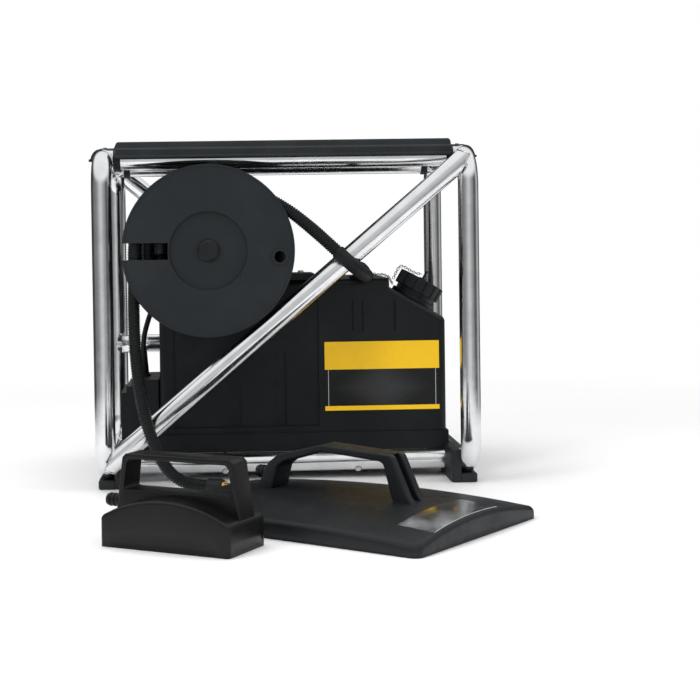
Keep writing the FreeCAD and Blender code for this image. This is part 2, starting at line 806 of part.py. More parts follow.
def make_tank_shell():
    """Blow-moulded upper shell with its grooves, its filler hole and its outlet hole."""
    piece = body("tank_moulding")
    pad(piece, "tank_block", outline(piece, "XZ_Plane", "tank_section", tank_corners("0"), "0 - tank_front"),
        TANK_DEPTH, backwards=True)
    low, step_x = size("seam_z"), size("step_x")

    def smooth_edges(edge):
        along_depth = edge.XLength < 0.01 and edge.ZLength < 0.01
        at_step = abs(edge.XMin - step_x) < 0.01 and abs(edge.XMax - step_x) < 0.01
        return edge.ZMax > low + 1 and not at_step and (edge.YLength < 0.01 or along_depth)

    round_edges(piece, "tank_rounds", "tank_round", smooth_edges)
    front_recess(piece, "tank_recess", "tank_left + 2 * tank_round", "recess_edge_x",
                 "groove_foot", "tank_top - 3 * tank_round", "recess_depth")
    front_recess(piece, "wide_groove", "wide_groove_x", "wide_groove_x + wide_groove_width",
                 "groove_foot", "wide_groove_top", "recess_depth + groove_depth")
    front_recess(piece, "short_groove", "short_groove_x", "short_groove_x + short_groove_width",
                 "groove_foot", "short_groove_top", "recess_depth + groove_depth")
    for number in (0, 1):
        left = f"vent_groove_x + {number} * vent_groove_pitch"
        front_recess(piece, f"vent_groove_{number}", left, f"{left} + vent_groove_width",
                     "vent_groove_low", "vent_groove_high", "groove_depth")
    front_recess(piece, "side_groove", "side_groove_x", "side_groove_x + vent_groove_width",
                 "vent_groove_low", "vent_groove_high", "groove_depth")
    cavity = body("tank_cavity")
    pad(cavity, "tank_cavity_block",
        outline(cavity, "XZ_Plane", "tank_cavity_section", tank_corners("tank_wall"),
                "0 - tank_front - tank_wall - recess_depth - groove_depth"),
        f"{TANK_DEPTH} - 2 * tank_wall - recess_depth - groove_depth", backwards=True)
    neck_hole = cylinder("filler_hole", "neck_bore", "4 * neck_flange_height",
                         neck_point("0 - 2 * neck_flange_height"), SLOPE_TURN)
    outlet_hole = cylinder("outlet_hole", "outlet_bore", "4 * tank_wall",
                           ("outlet_x", "outlet_y", "tank_top - 2 * tank_wall"))
    element_holes = [
        cylinder(f"element_hole_{number}", "element_radius + cope_gap", "4 * tank_wall",
                 ("tank_left - 2 * tank_wall", f"{ELEMENT_Y} + {number} * element_gap", "element_z"), ALONG_X)
        for number in (0, 1)
    ]
    keep(cut("tank_shell", piece, cavity, neck_hole, outlet_hole, *element_holes))


ELEMENT_Y = "(housing_front + housing_back) / 2 - element_gap / 2"


def make_tank_base():
    """Tray under the tank, a little wider than the shell, that the bottom rails carry."""
    wall = "plate_wall"
    tray = box("tank_tray",
               ("tank_right - tank_left + 2 * skirt_lip", f"{TANK_DEPTH} + 2 * skirt_lip",
                "seam_z - tank_bottom"),
               ("tank_left - skirt_lip", "tank_front - skirt_lip", "tank_bottom"))
    hollow = box("tank_tray_hollow",
                 (f"tank_right - tank_left - 2 * {wall}", f"{TANK_DEPTH} - 2 * {wall}", "seam_z"),
                 (f"tank_left + {wall}", f"tank_front + {wall}", f"tank_bottom + {wall}"))
    pilots = [
        cylinder(f"tray_{end}_{where}_pilot", "screw_radius + cope_gap", "4 * tube_radius",
                 rail_screw_point(end, where, "2 * tube_radius"), rail_screw_turn(end))
        for end in ENDS for where in ("left", "right")
    ]
    keep(cut("tank_base", tray, hollow, *pilots))


def make_tank_screws():
    """Screws through the bottom rails into the tray."""
    keep(group("tank_screws", *[
        screw(f"tank_screw_{end}_{where}", rail_screw_point(end, where, "tube_radius"),
              "2 * tube_radius + screw_bite", rail_screw_turn(end))
        for end in ENDS for where in ("left", "right")
    ]))


def make_tank_label():
    """Plain plate on the front of the tank."""
    keep(box("tank_label", ("label_width", "label_thick", "label_height"),
             ("label_x - label_width / 2", "tank_front - label_thick", "label_z - label_height / 2")))


def make_filler():
    """Neck on the slope, and its cap with seal, ribs and the stud that the chain hangs from."""
    keep(turned("filler_neck", [
        ("neck_bore", "0"), ("neck_flange", "0"), ("neck_flange", "neck_flange_height"),
        ("neck_radius", "neck_flange_height"), ("neck_radius", "neck_height"), ("neck_bore", "neck_height"),
    ], *neck_point("0"), SLOPE_TURN))
    seal_top = "neck_height + fit_gap + seal_height"
    cap = turned("cap_moulding", [
        ("neck_radius + fit_gap", "cap_lift"), ("cap_radius - cap_rib_depth", "cap_lift"),
        ("cap_radius - cap_rib_depth", f"{seal_top} + cap_roof"),
        ("stud_radius + fit_gap", f"{seal_top} + cap_roof"),
        ("stud_radius + fit_gap", seal_top), ("neck_radius + fit_gap", seal_top),
    ], *neck_point("0"), SLOPE_TURN)
    rib = outline(cap, "XY_Plane", "cap_rib_section", [
        ("cap_radius - 2 * cap_rib_depth", "0 - cap_rib_width / 2"), ("cap_radius", "0 - cap_rib_width / 2"),
        ("cap_radius", "cap_rib_width / 2"), ("cap_radius - 2 * cap_rib_depth", "cap_rib_width / 2"),
    ], "cap_lift")
    rib_pad = pad(cap, "cap_rib", rib, f"{seal_top} + cap_roof - cap_lift")
    pattern = cap.newObject("PartDesign::PolarPattern", "cap_ribs")
    pattern.Originals = [rib_pad]
    pattern.Axis = (rib, ["N_Axis"])
    pattern.Angle = 360.0
    pattern.Occurrences = CAP_RIBS
    cap.Tip = pattern
    cap.Label = "filler_cap"
    keep(cap)
    keep(turned("cap_seal", [
        ("stud_head + 1 * fit_gap", f"{seal_top} - seal_height"),
        ("neck_radius", f"{seal_top} - seal_height"),
        ("neck_radius", seal_top), ("stud_head + 1 * fit_gap", seal_top),
    ], *neck_point("0"), SLOPE_TURN))
    stud_top = f"{seal_top} + cap_roof + 2"
    stud = turned("stud_turning", [
        ("0", f"{seal_top} - seal_height"), ("stud_head", f"{seal_top} - seal_height"),
        ("stud_head", f"{seal_top} - fit_gap"), ("stud_radius", f"{seal_top} - fit_gap"),
        ("stud_radius", f"{seal_top} + cap_roof + fit_gap"),
        ("stud_head", f"{seal_top} + cap_roof + fit_gap"),
        ("stud_head", stud_top), ("0", stud_top),
    ], *neck_point("0"), SLOPE_TURN)
    tab = outline(stud, "XY_Plane", "stud_tab_section", [
        ("0 - tab_thick / 2", "0 - tab_width / 2"), ("tab_thick / 2", "0 - tab_width / 2"),
        ("tab_thick / 2", "tab_width / 2"), ("0 - tab_thick / 2", "tab_width / 2"),
    ], stud_top)
    pad(stud, "stud_tab", tab, "tab_height")
    eye = rings(stud, "YZ_Plane", "stud_eye_section",
                [("0", f"{stud_top} + tab_height - tab_width / 2", "tab_eye")],
                "0 - tab_width")
    pocket(stud, "stud_eye", eye, "2 * tab_width", backwards=True)
    stud.Label = "cap_stud"
    keep(stud)


CAP_RIBS = 14

make_tank_shell()
make_tank_base()
make_tank_screws()
make_tank_label()
make_filler()


# --- steam outlet on the tank's top ---------------------------------------------------------------

ARM_Z = "(tank_top + outlet_flange_thick + outlet_rise)"


def make_outlet():
    """Elbow on the tank's top: a riser, an arm towards the front and a round end behind."""
    flange = cylinder("outlet_flange_disc", "outlet_flange", "outlet_flange_thick",
                      ("outlet_x", "outlet_y", "tank_top"))
    riser = cylinder("outlet_riser", "outlet_radius", "outlet_flange_thick + outlet_rise",
                     ("outlet_x", "outlet_y", "tank_top"))
    knob = cylinder("outlet_knob", "knob_radius", "knob_length", ("outlet_x", "outlet_y", ARM_Z), ALONG_Y)
    arm = cylinder("outlet_arm", "outlet_radius", "outlet_arm_length",
                   ("outlet_x", "outlet_y - outlet_arm_length", ARM_Z), ALONG_Y)
    spigot = cylinder("outlet_spigot", "hose_bore - fit_gap", "outlet_arm_length + spigot_length",
                      ("outlet_x", "outlet_y - outlet_arm_length - spigot_length", ARM_Z), ALONG_Y)
    eye = doc.addObject("Part::Torus", "outlet_eye")
    bind(eye, Radius1="eye_radius", Radius2="eye_wire")
    place(eye, "outlet_x + outlet_radius + eye_radius", "outlet_y", f"{ARM_Z} - outlet_radius / 2", ALONG_Y)
    down = cylinder("outlet_down_bore", "outlet_bore", "outlet_flange_thick + outlet_rise",
                    ("outlet_x", "outlet_y", "tank_top"))
    along = cylinder("outlet_arm_bore", "spigot_bore", "outlet_arm_length + spigot_length",
                     ("outlet_x", "outlet_y - outlet_arm_length - spigot_length", ARM_Z), ALONG_Y)
    keep(cut("outlet_elbow", fuse("outlet_body", flange, riser, knob, arm, spigot, eye), down, along))


# --- hose reel ------------------------------------------------------------------------------------

FLANGE_BACK = "(reel_front + flange_thick)"
BACK_FLANGE = f"({FLANGE_BACK} + reel_gap)"
HUB_BORE = "axle_radius + running_gap"


def make_front_flange():
    """Front disc: a central dish, a hose slot on the left and the crank's socket on the right."""
    piece = turned("front_flange", [
        (HUB_BORE, "0 - dish_depth"), ("drum_radius", "0 - dish_depth"), ("drum_radius", "0"),
        ("reel_radius", "0"),
        ("reel_radius", "flange_thick + flange_bead"),
        ("reel_radius - rim_width", "flange_thick + flange_bead"),
        ("reel_radius - rim_width", "flange_thick"), ("recess_radius", "flange_thick"),
        ("recess_radius", "flange_thick - recess_set"), (HUB_BORE, "flange_thick - recess_set"),
    ], "reel_x", FLANGE_BACK, "reel_z", TOWARDS_FRONT)
    socket_x = "crank_reach * cos(crank_drop * 1 deg)"
    socket_z = "0 - crank_reach * sin(crank_drop * 1 deg)"
    pad(piece, "crank_ring_pad", rings(piece, "XY_Plane", "crank_ring_section",
                                       [(socket_x, socket_z, "crank_ring")]),
       "flange_thick + crank_ring_height")
    pocket(piece, "crank_socket", rings(piece, "XY_Plane", "crank_socket_section",
                                        [(socket_x, socket_z, "crank_radius")], "0 - flange_thick"),
           "4 * flange_thick", backwards=True)
    slot = outline(piece, "XY_Plane", "hose_slot_section", [
        ("0 - reel_radius - rim_width", "0 - slot_height / 2"),
        ("0 - recess_radius - slot_wall", "0 - slot_height / 2"),
        ("0 - recess_radius - slot_wall", "slot_height / 2"),
        ("0 - reel_radius - rim_width", "slot_height / 2"),
    ], "0 - flange_thick * 4")
    pocket(piece, "hose_slot", slot, "flange_thick * 8", backwards=True)
    piece.Label = "reel_front_flange"
    keep(piece)


def make_drum():
    """Barrel on a hub and a web, between the two flanges."""
    length = f"({BACK_FLANGE} - {FLANGE_BACK} - dish_depth)"
    hub = "axle_radius + hub_wall"
    inner = "drum_radius - drum_wall"
    web_low = f"({length} - drum_wall) / 2"
    web_high = f"({length} + drum_wall) / 2"
    keep(turned("reel_drum", [
        (HUB_BORE, "0"), (hub, "0"), (hub, web_low), (inner, web_low), (inner, "0"), ("drum_radius", "0"),
        ("drum_radius", length), (inner, length), (inner, web_high), (hub, web_high), (hub, length),
        (HUB_BORE, length),
    ], "reel_x", BACK_FLANGE, "reel_z", TOWARDS_FRONT))


def make_back_flange():
    """Plain rear disc of the reel."""
    keep(turned("reel_back_flange", [
        (HUB_BORE, "0"), ("back_flange_radius", "0"), ("back_flange_radius", "flange_thick"),
        (HUB_BORE, "flange_thick"),
    ], "reel_x", f"{BACK_FLANGE} + flange_thick", "reel_z", TOWARDS_FRONT))


AXLE_FRONT = f"({FLANGE_BACK} + dish_depth - dish_thick - fit_gap)"
BRACKET_FRONT = f"({BACK_FLANGE} + flange_thick + 2 * fit_gap + collar_width)"


def make_axle():
    """Fixed axle with a collar in front of the bracket and a staked head behind it, and its front cap."""
    reach = f"({BRACKET_FRONT} - {AXLE_FRONT})"
    tail = "axle_tail - cope_gap"
    keep(turned("reel_axle", [
        ("0", "0"), ("axle_radius", "0"), ("axle_radius", f"{reach} - collar_width"),
        ("axle_radius + hub_wall", f"{reach} - collar_width"), ("axle_radius + hub_wall", reach),
        (tail, reach), (tail, f"{reach} + bracket_thick"),
        ("axle_radius + hub_wall", f"{reach} + bracket_thick"),
        ("axle_radius + hub_wall", f"{reach} + bracket_thick + collar_width"),
        ("0", f"{reach} + bracket_thick + collar_width"),
    ], "reel_x", AXLE_FRONT, "reel_z", ALONG_Y))
    keep(turned("axle_cap", [
        ("0", "0"), ("axle_cap_radius", "0"), ("axle_cap_radius", "axle_cap_height * 0.6"),
        ("axle_cap_radius * 0.8", "axle_cap_height"), ("0", "axle_cap_height"),
    ], "reel_x", AXLE_FRONT, "reel_z", TOWARDS_FRONT))


def make_bracket():
    """Angle on the tank's top that carries the axle on an upright tongue."""
    foot = box("bracket_foot", ("bracket_right - bracket_left", "bracket_depth", "bracket_base"),
               ("bracket_left", BRACKET_FRONT, "tank_top"))
    tongue = box("bracket_tongue", ("2 * bracket_head", "bracket_thick", "reel_z - tank_top"),
                 ("reel_x - bracket_head", BRACKET_FRONT, "tank_top"))
    head = cylinder("bracket_head_disc", "bracket_head", "bracket_thick",
                    ("reel_x", BRACKET_FRONT, "reel_z"), ALONG_Y)
    hole = cylinder("bracket_hole", "axle_tail", "3 * bracket_thick",
                    ("reel_x", f"{BRACKET_FRONT} - bracket_thick", "reel_z"), ALONG_Y)
    drills = [
        cylinder(f"bracket_drill_{where}", "screw_radius + cope_gap", "4 * bracket_base",
                 (x, BRACKET_SCREW_Y, "tank_top - bracket_base"))
        for where, x in BRACKET_SCREWS.items()
    ]
    keep(cut("reel_bracket", fuse("bracket_body", foot, tongue, head), hole, *drills))
    turn = Rotation(Vector(1, 0, 0), 180)
    keep(group("bracket_screws", *[
        screw(f"bracket_screw_{where}", (x, BRACKET_SCREW_Y, "tank_top + bracket_base"),
              "bracket_base - cope_gap", turn)
        for where, x in BRACKET_SCREWS.items()
    ]))


BRACKET_SCREW_Y = f"({BRACKET_FRONT} + bracket_depth - 2 * head_radius)"
BRACKET_SCREWS = {"left": "bracket_left + 3 * head_radius", "right": "bracket_right - 3 * head_radius"}


# --- hoses and leads: runs joined by arcs ----------------------------------------------------------

def rounded_wire(points, label, diameter):
    """Wire of straight runs joined by tangent arcs; prints the arcs' radii in diameters."""
    places = [Vector(*point) for point in points]
    edges, radii, start = [], [], places[0]
    for before, corner, after in zip(places, places[1:], places[2:]):
        run_in, run_out = corner - before, after - corner
        half_turn = run_in.getAngle(run_out) / 2
        trim = 0.45 * min(run_in.Length, run_out.Length)
        radii.append(trim / math.tan(half_turn))
        towards, away = (before - corner).normalize(), (after - corner).normalize()
        entry, leave = corner + towards * trim, corner + away * trim
        bisector = (towards + away).normalize()
        middle = corner + bisector * (radii[-1] / math.cos(half_turn) - radii[-1])
        if (entry - start).Length > 0.01:
            edges.append(Part.LineSegment(start, entry).toShape())
        edges.append(Part.Arc(entry, middle, leave).toShape())
        start = leave
    edges.append(Part.LineSegment(start, places[-1]).toShape())
    wire = Part.Wire(edges)
    least = min(radii) / diameter
    print(f"{label}: length {wire.Length:.0f}, least radius {least:.1f} diameters, "
          f"all {[round(radius / diameter, 1) for radius in radii]}")
    return wire


def pipe(wire, radius):
    """Round solid along a wire, checked against its section times its length."""
    edge = wire.Edges[0]
    start = edge.valueAt(edge.FirstParameter)
    heading = edge.tangentAt(edge.FirstParameter)
    circle = Part.Wire(Part.Circle(start, heading, radius).toShape())
    solid = wire.makePipeShell([circle], True, False)
    wanted = math.pi * radius ** 2 * wire.Length
    if abs(solid.Volume - wanted) > 0.01 * wanted:
        raise RuntimeError(f"pipe volume {solid.Volume:.0f} is not {wanted:.0f}")
    return solid


def stations(wire, spacing):
    """Points and headings along a wire at an even spacing."""
    count = max(2, round(wire.Length / spacing))
    step = wire.Length / count
    found, passed, number = [], 0.0, 0
    for edge in wire.Edges:
        while number <= count and number * step <= passed + edge.Length + 1e-6:
            parameter = edge.getParameterByLength(min(max(number * step - passed, 0.0), edge.Length))
            found.append((edge.valueAt(parameter), edge.tangentAt(parameter)))
            number += 1
        passed += edge.Length
    return found


def ribbed_pipe(wire, crest, valley, bore, pitch):
    """Corrugated tube: a ruled loft through four circles to each rib, less its bore."""
    marks = stations(wire, pitch / 4)
    marks = marks[:len(marks) - (len(marks) - 1) % 4]
    marks[-1] = stations(wire, wire.Length / 2)[-1]
    steady = Vector(0, 1, 0)
    sections = []
    for number, (point, heading) in enumerate(marks):
        on_crest = number % 4 in (1, 2)
        across = (steady - heading * steady.dot(heading)).normalize()
        circle = Part.Circle(point, heading, crest if on_crest else valley)
        circle.XAxis = across
        sections.append(Part.Wire(circle.toShape()))
    ribs = Part.makeLoft(sections, True, True)
    print(f"  {(len(marks) - 1) // 4} ribs")
    return ribs.cut(pipe(wire, bore))


def arc_through(start, heading, end):
    """Arc that leaves a point in a given direction and ends at another point."""
    chord = end - start
    turn = heading.getAngle(chord)
    if turn < 1e-6:
        return Part.LineSegment(start, end).toShape()
    bulge = chord.Length / 2 * math.tan(turn / 2)
    chord_heading = Vector(chord).normalize()
    outward = (heading - chord_heading * heading.dot(chord_heading)).normalize()
    return Part.Arc(start, (start + end) / 2 + outward * bulge, end).toShape()


def biarc(start, start_heading, end, end_heading):
    """Two arcs that join two points in two given directions."""
    across = end - start
    both = start_heading + end_heading
    slack = 2 * (1 - start_heading.dot(end_heading))
    along = across.dot(both)
    if slack < 1e-9:
        reach = across.Length ** 2 / (4 * across.dot(end_heading))
    else:
        reach = (-along + math.sqrt(along ** 2 + slack * across.Length ** 2)) / slack
    joint = ((start + start_heading * reach) + (end - end_heading * reach)) / 2
    return [arc_through(start, start_heading, joint), arc_through(end, end_heading * -1, joint)]


def wound_wire(place_at, turns, per_turn, lead_in, lead_out):
    """Wire of biarcs through points of a winding, with straight ends."""
    count = round(turns * per_turn)
    step = turns / count

    def heading_at(turn):
        nudge = 1e-4
        return (place_at(turn + nudge) - place_at(turn - nudge)).normalize()

    edges = []
    first, first_heading = place_at(0.0), heading_at(0.0)
    last, last_heading = place_at(turns), heading_at(turns)
    if lead_in:
        edges.append(Part.LineSegment(first - first_heading * lead_in, first).toShape())
    for number in range(count):
        low, high = number * step, (number + 1) * step
        edges += biarc(place_at(low), heading_at(low), place_at(high), heading_at(high))
    if lead_out:
        edges.append(Part.LineSegment(last, last + last_heading * lead_out).toShape())
    return Part.Wire(Part.sortEdges(edges)[0])


def least_self_gap(wire, diameter, label):
    """Least clear distance between neighbouring turns, measured on points along the wire."""
    spacing = diameter / 2
    marks = [point for point, _ in stations(wire, spacing)]
    apart = math.ceil(math.pi * 1.2 * diameter / spacing)
    least = min(
        (marks[one] - marks[other]).Length
        for one in range(0, len(marks), 2)
        for other in range(one + apart, len(marks))
    ) - diameter
    print(f"{label}: length {wire.Length:.0f}, least gap to itself {least:.2f}")
    if least < 0.4:
        raise RuntimeError(f"{label} runs into itself")


def make_winding():
    """Hose on the drum: a plain core of inner layers under an outer layer that keeps its turns."""
    core_radius = size("winding_radius") - size("hose_radius") - size("core_gap")
    back = size("reel_front") + size("flange_thick")
    depth = size("reel_gap") - 2 * size("core_gap")
    axis_start = Vector(size("reel_x"), back + size("core_gap"), size("reel_z"))
    forward = Vector(0, 1, 0)
    core = Part.makeCylinder(core_radius, depth, axis_start, forward)
    core = core.cut(Part.makeCylinder(size("drum_radius") + size("fit_gap"), depth, axis_start, forward))
    shaped("hose_core", core)
    lane = size("hose_radius") + size("core_gap")
    first_y = back + 3 * lane + size("core_gap")
    last_y = back + size("reel_gap") - lane
    turns = (last_y - first_y) / size("winding_pitch")
    radius = size("winding_radius")

    def on_drum(turn):
        angle = math.pi / 2 - 2 * math.pi * turn
        return Vector(size("reel_x") + radius * math.cos(angle), first_y + size("winding_pitch") * turn,
                      size("reel_z") + radius * math.sin(angle))

    wire = wound_wire(on_drum, turns, 4, 0, 0)
    least_self_gap(wire, 2 * size("hose_radius"), "hose_winding")
    shaped("hose_winding", pipe(wire, size("hose_radius")))


def reel_arc_point(angle, corner_turn=0.0):
    """Point in the reel's front lane; a corner stands outside the winding's circle."""
    reach = size("winding_radius") / math.cos(math.radians(corner_turn))
    return (size("reel_x") + reach * math.cos(math.radians(angle)), FRONT_LANE_Y,
            size("reel_z") + reach * math.sin(math.radians(angle)))


FRONT_LANE_Y = (size("reel_front") + size("flange_thick") + size("hose_radius")
                + size("core_gap") + size("lane_slack"))

OUTLET_RUN = [
    reel_arc_point(110.5, 10),
    reel_arc_point(90.5, 10),
    reel_arc_point(70.5, 10),
    (-1.5, FRONT_LANE_Y, 345.5),
    (24.0, -8.0, 325.0),
    (44.0, -19.5, 306.5),
    (61.0, -26.0, 290.0),
]
SLEEVE_RUN = [
    (61.0, -26.0, 290.0),
    (72.05, -30.225, 279.275),
    (83.1, -27.4, 269.6),
    (92.4, -18.3, 262.6),
    (98.1, -4.8, 259.6),
    (98.6, 19.2, 260.6),
    (99.0, 56.0, 266.0),
    (99.0, 80.0, 266.0),
]
FREE_RUN = [
    reel_arc_point(130, 10),
    reel_arc_point(150, 10),
    reel_arc_point(170, 10),
    (-187.0, -0.4, 262.0),
    (-188.2, -1.0, 208.0),
    (-185.6, -7.0, 155.0),
    (-179.5, -15.0, 112.0),
    (-172.5, -21.5, 82.0),
    (-164.0, -24.0, 58.5),
    (-155.0, -23.5, 38.5),
    (-144.5, -22.5, 23.3),
    (-131.0, -22.5, 14.2),
    (-116.3, -25.0, 9.9),
    (-101.0, -31.2, 9.9),
]


def make_hoses():
    """The hose's outlet run and sleeve, which the steamer holds, and the run that hangs free."""
    diameter = 2 * size("hose_radius")
    ribs = (size("hose_radius"), size("hose_valley"), size("hose_bore"), size("rib_pitch"))
    shaped("hose_outlet_run", ribbed_pipe(rounded_wire(OUTLET_RUN, "hose_outlet_run", diameter), *ribs))
    sleeve_path = rounded_wire(SLEEVE_RUN, "hose_sleeve", diameter)
    shaped("hose_sleeve", pipe(sleeve_path, size("sleeve_radius")).cut(pipe(sleeve_path, size("hose_bore"))))
    shaped("hose_free_run", ribbed_pipe(rounded_wire(FREE_RUN, "hose_free_run", diameter), *ribs))


make_outlet()
make_front_flange()
make_drum()
make_back_flange()
make_axle()
make_bracket()
make_winding()
make_hoses()


# --- steam plates ---------------------------------------------------------------------------------

LARGE_TURN = Rotation(Vector(0, 0, 1), size("large_turn"))
SMALL_TURN = Rotation(Vector(0, 0, 1), size("small_turn"))
AWAY_LEFT = Rotation(Vector(0, 1, 0), -90)
SMALL_BOW = "(small_length ^ 2 / 8 / (small_crest - small_end) + (small_crest - small_end) / 2)"


def on_plate(plate, along, across, height):
    """Cage coordinates of a point given along and across a plate."""
    swing = f"({plate}_turn * 1 deg)"
    return (f"{plate}_x + ({along}) * cos{swing} - ({across}) * sin{swing}",
            f"{plate}_y + ({along}) * sin{swing} + ({across}) * cos{swing}", height)


def plate_block(name, plate, turn, inset):
    """Rectangular block with rounded corners, as high as the plate's crown."""
    high = "large_crown" if plate == "large" else "small_crest"
    piece = body(name, *on_plate(plate, "0", "0", "0"), turn)
    along, across = f"({plate}_length / 2 - {inset})", f"({plate}_width / 2 - {inset})"
    pad(piece, f"{name}_pad", outline(piece, "XY_Plane", f"{name}_outline", [
        (f"0 - {along}", f"0 - {across}"), (along, f"0 - {across}"), (along, across),
        (f"0 - {along}", across),
    ]), high)
    round_edges(piece, f"{name}_corners", f"{plate}_corner - {inset}",
                lambda edge: edge.XLength < 0.01 and edge.YLength < 0.01)
    return piece


def large_dome(name, rise):
    """Ring whose outer face follows the large plate's top, raised by a small amount."""
    ring = doc.addObject("Part::Torus", name)
    bind(ring, Radius1="large_bow - large_arch", Radius2=f"large_arch + {rise}")
    place(ring, *on_plate("large", "0", "0", "large_crown - large_bow"), LARGE_TURN * ALONG_Y)
    return ring


def small_dome(name, rise):
    """Roller whose outer face follows the small plate's arched top."""
    roller = doc.addObject("Part::Cylinder", name)
    bind(roller, Radius=f"{SMALL_BOW} + {rise}", Height="2 * small_width")
    place(roller, *on_plate("small", "0", "0 - small_width", f"small_crest - {SMALL_BOW}"),
          SMALL_TURN * ALONG_Y)
    return roller


def common(name, base, tool):
    """What two shapes share."""
    piece = doc.addObject("Part::Common", name)
    piece.Base = base
    piece.Tool = tool
    return piece


def make_shell(plate, turn, dome):
    """Moulded plate, hollow below, under its domed top."""
    outside = common(f"{plate}_outside", plate_block(f"{plate}_outer", plate, turn, "0"),
                     dome(f"{plate}_top", "0"))
    inside = common(f"{plate}_inside", plate_block(f"{plate}_inner", plate, turn, "plate_wall"),
                    dome(f"{plate}_ceiling", "0 - plate_wall"))
    keep(cut(f"{plate}_plate_shell", outside, inside))


def make_baffle(plate, turn, rows, columns):
    """Steam baffle inside a plate: a sheet with a grid of holes."""
    name = f"{plate}_plate_baffle"
    piece = body(name, *on_plate(plate, "0", "0", "baffle_z"), turn)
    half_length = f"({plate}_length / 2 - plate_wall - fit_gap)"
    half_width = f"({plate}_width / 2 - plate_wall - fit_gap)"
    pad(piece, f"{name}_sheet", outline(piece, "XY_Plane", f"{name}_outline", [
        (f"0 - {half_length}", f"0 - {half_width}"), (half_length, f"0 - {half_width}"),
        (half_length, half_width), (f"0 - {half_length}", half_width),
    ]), "baffle_thick")
    round_edges(piece, f"{name}_corners", f"{plate}_corner - plate_wall + fit_gap",
                lambda edge: edge.XLength < 0.01 and edge.YLength < 0.01)
    column = rings(piece, "XY_Plane", f"{name}_holes_sketch", [
        (f"0 - {half_length} + {half_length} / {columns}",
         f"0 - {half_width} + {half_width} * {2 * row + 1} / {rows}", "baffle_hole") for row in range(rows)
    ])
    holes = pocket(piece, f"{name}_holes", column, "4 * baffle_thick", backwards=True)
    pattern = piece.newObject("PartDesign::LinearPattern", f"{name}_pattern")
    pattern.Originals = [holes]
    pattern.Direction = (column, ["H_Axis"])
    pattern.Occurrences = columns
    bind(pattern, Length=f"2 * {half_length} * {columns - 1} / {columns}")
    piece.Tip = pattern
    keep(piece)


def make_inlet(plate, turn, along, across, height):
    """Hose inlet: a ribbed spigot that leaves the handle's left foot."""
    corners = [(INLET_BORE, "0 - inlet_root"), ("inlet_radius - inlet_rib", "0 - inlet_root")]
    for rib in range(INLET_RIBS):
        low = f"inlet_length * {rib} / {INLET_RIBS}"
        high = f"inlet_length * {2 * rib + 1} / {2 * INLET_RIBS}"
        corners += [("inlet_radius - inlet_rib", low), ("inlet_radius", low), ("inlet_radius", high),
                    ("inlet_radius - inlet_rib", high)]
    corners += [("inlet_radius - inlet_rib", "inlet_length"), (INLET_BORE, "inlet_length")]
    keep(turned(f"{plate}_plate_inlet", corners, *on_plate(plate, along, across, height), turn * AWAY_LEFT))


def inlet_seats(plate, turn, along, across, height):
    """Sunk round seats that take an inlet's plain root and its ribs where they enter a handle's foot."""
    place_at = on_plate(plate, along, across, height)
    return [cylinder(f"{plate}_root_seat", "inlet_radius - inlet_rib", "inlet_root", place_at,
                     turn * ALONG_X),
            cylinder(f"{plate}_rib_seat", "inlet_radius", "inlet_length", place_at, turn * AWAY_LEFT)]


INLET_RIBS = 4
INLET_BORE = "nozzle_radius + cope_gap"


def make_large_handle():
    """Bent handle on two legs; a slot runs up its right leg."""
    handle = body("large_handle", *on_plate("large", "0", "handle_across", "0"), LARGE_TURN)
    pad(handle, "large_handle_pad", outline(handle, "XZ_Plane", "large_handle_line", [
        ("0 - handle_left", "handle_foot"), ("0 - handle_knee", "handle_knee_z"),
        ("0 - handle_shoulder", "handle_shoulder_z"), ("0 - handle_peak_x", "handle_peak"),
        ("handle_turn_x", "handle_turn_z"), ("handle_right", "handle_foot"),
        ("handle_right - handle_leg", "handle_foot"),
        ("handle_turn_x - handle_bar - 3", "handle_turn_z - handle_bar"),
        ("0 - handle_peak_x", "handle_peak - handle_bar"),
        ("0 - handle_shoulder + handle_bar", "handle_shoulder_z - handle_bar"),
        ("0 - handle_shoulder", "handle_knee_z - handle_bar / 2"),
        ("0 - handle_left + handle_leg", "handle_foot"),
    ]), "handle_width", both_ways=True)
    slot = outline(handle, "YZ_Plane", "large_handle_slot_line", [
        ("0 - handle_slot / 2", "0"), ("handle_slot / 2", "0"),
        ("handle_slot / 2", "handle_turn_z + handle_bar"),
        ("0 - handle_slot / 2", "handle_turn_z + handle_bar"),
    ], "handle_turn_x - handle_bar / 2")
    pocket(handle, "large_handle_slot", slot, "4 * handle_leg", backwards=True)
    trimmer = common("handle_trimmer", plate_block("handle_trim_block", "large", LARGE_TURN, "0"),
                     large_dome("handle_trim_dome", "0"))
    seats = inlet_seats("large", LARGE_TURN, LARGE_INLET_ALONG, "handle_across", "large_inlet_z")
    keep(cut("large_plate_handle", handle, trimmer, *seats))
    make_inlet("large", LARGE_TURN, LARGE_INLET_ALONG, "handle_across", "large_inlet_z")


LARGE_INLET_ALONG = ("(0 - handle_left + (large_inlet_z - handle_foot) * (handle_left - handle_knee)"
                     " / (handle_knee_z - handle_foot) + inlet_root)")


def make_large_label():
    """Plain thin label that follows the dome near the plate's right end."""
    block = box("label_block", ("sticker_length", "sticker_width", "2 * large_crown"), ("0", "0", "0"))
    place(block, *on_plate("large", "sticker_along - sticker_length / 2",
                           "sticker_across - sticker_width / 2", "0"),
          LARGE_TURN)
    keep(cut("large_plate_label", common("label_raised", block, large_dome("label_top", "sticker_thick")),
             large_dome("label_floor", "0")))


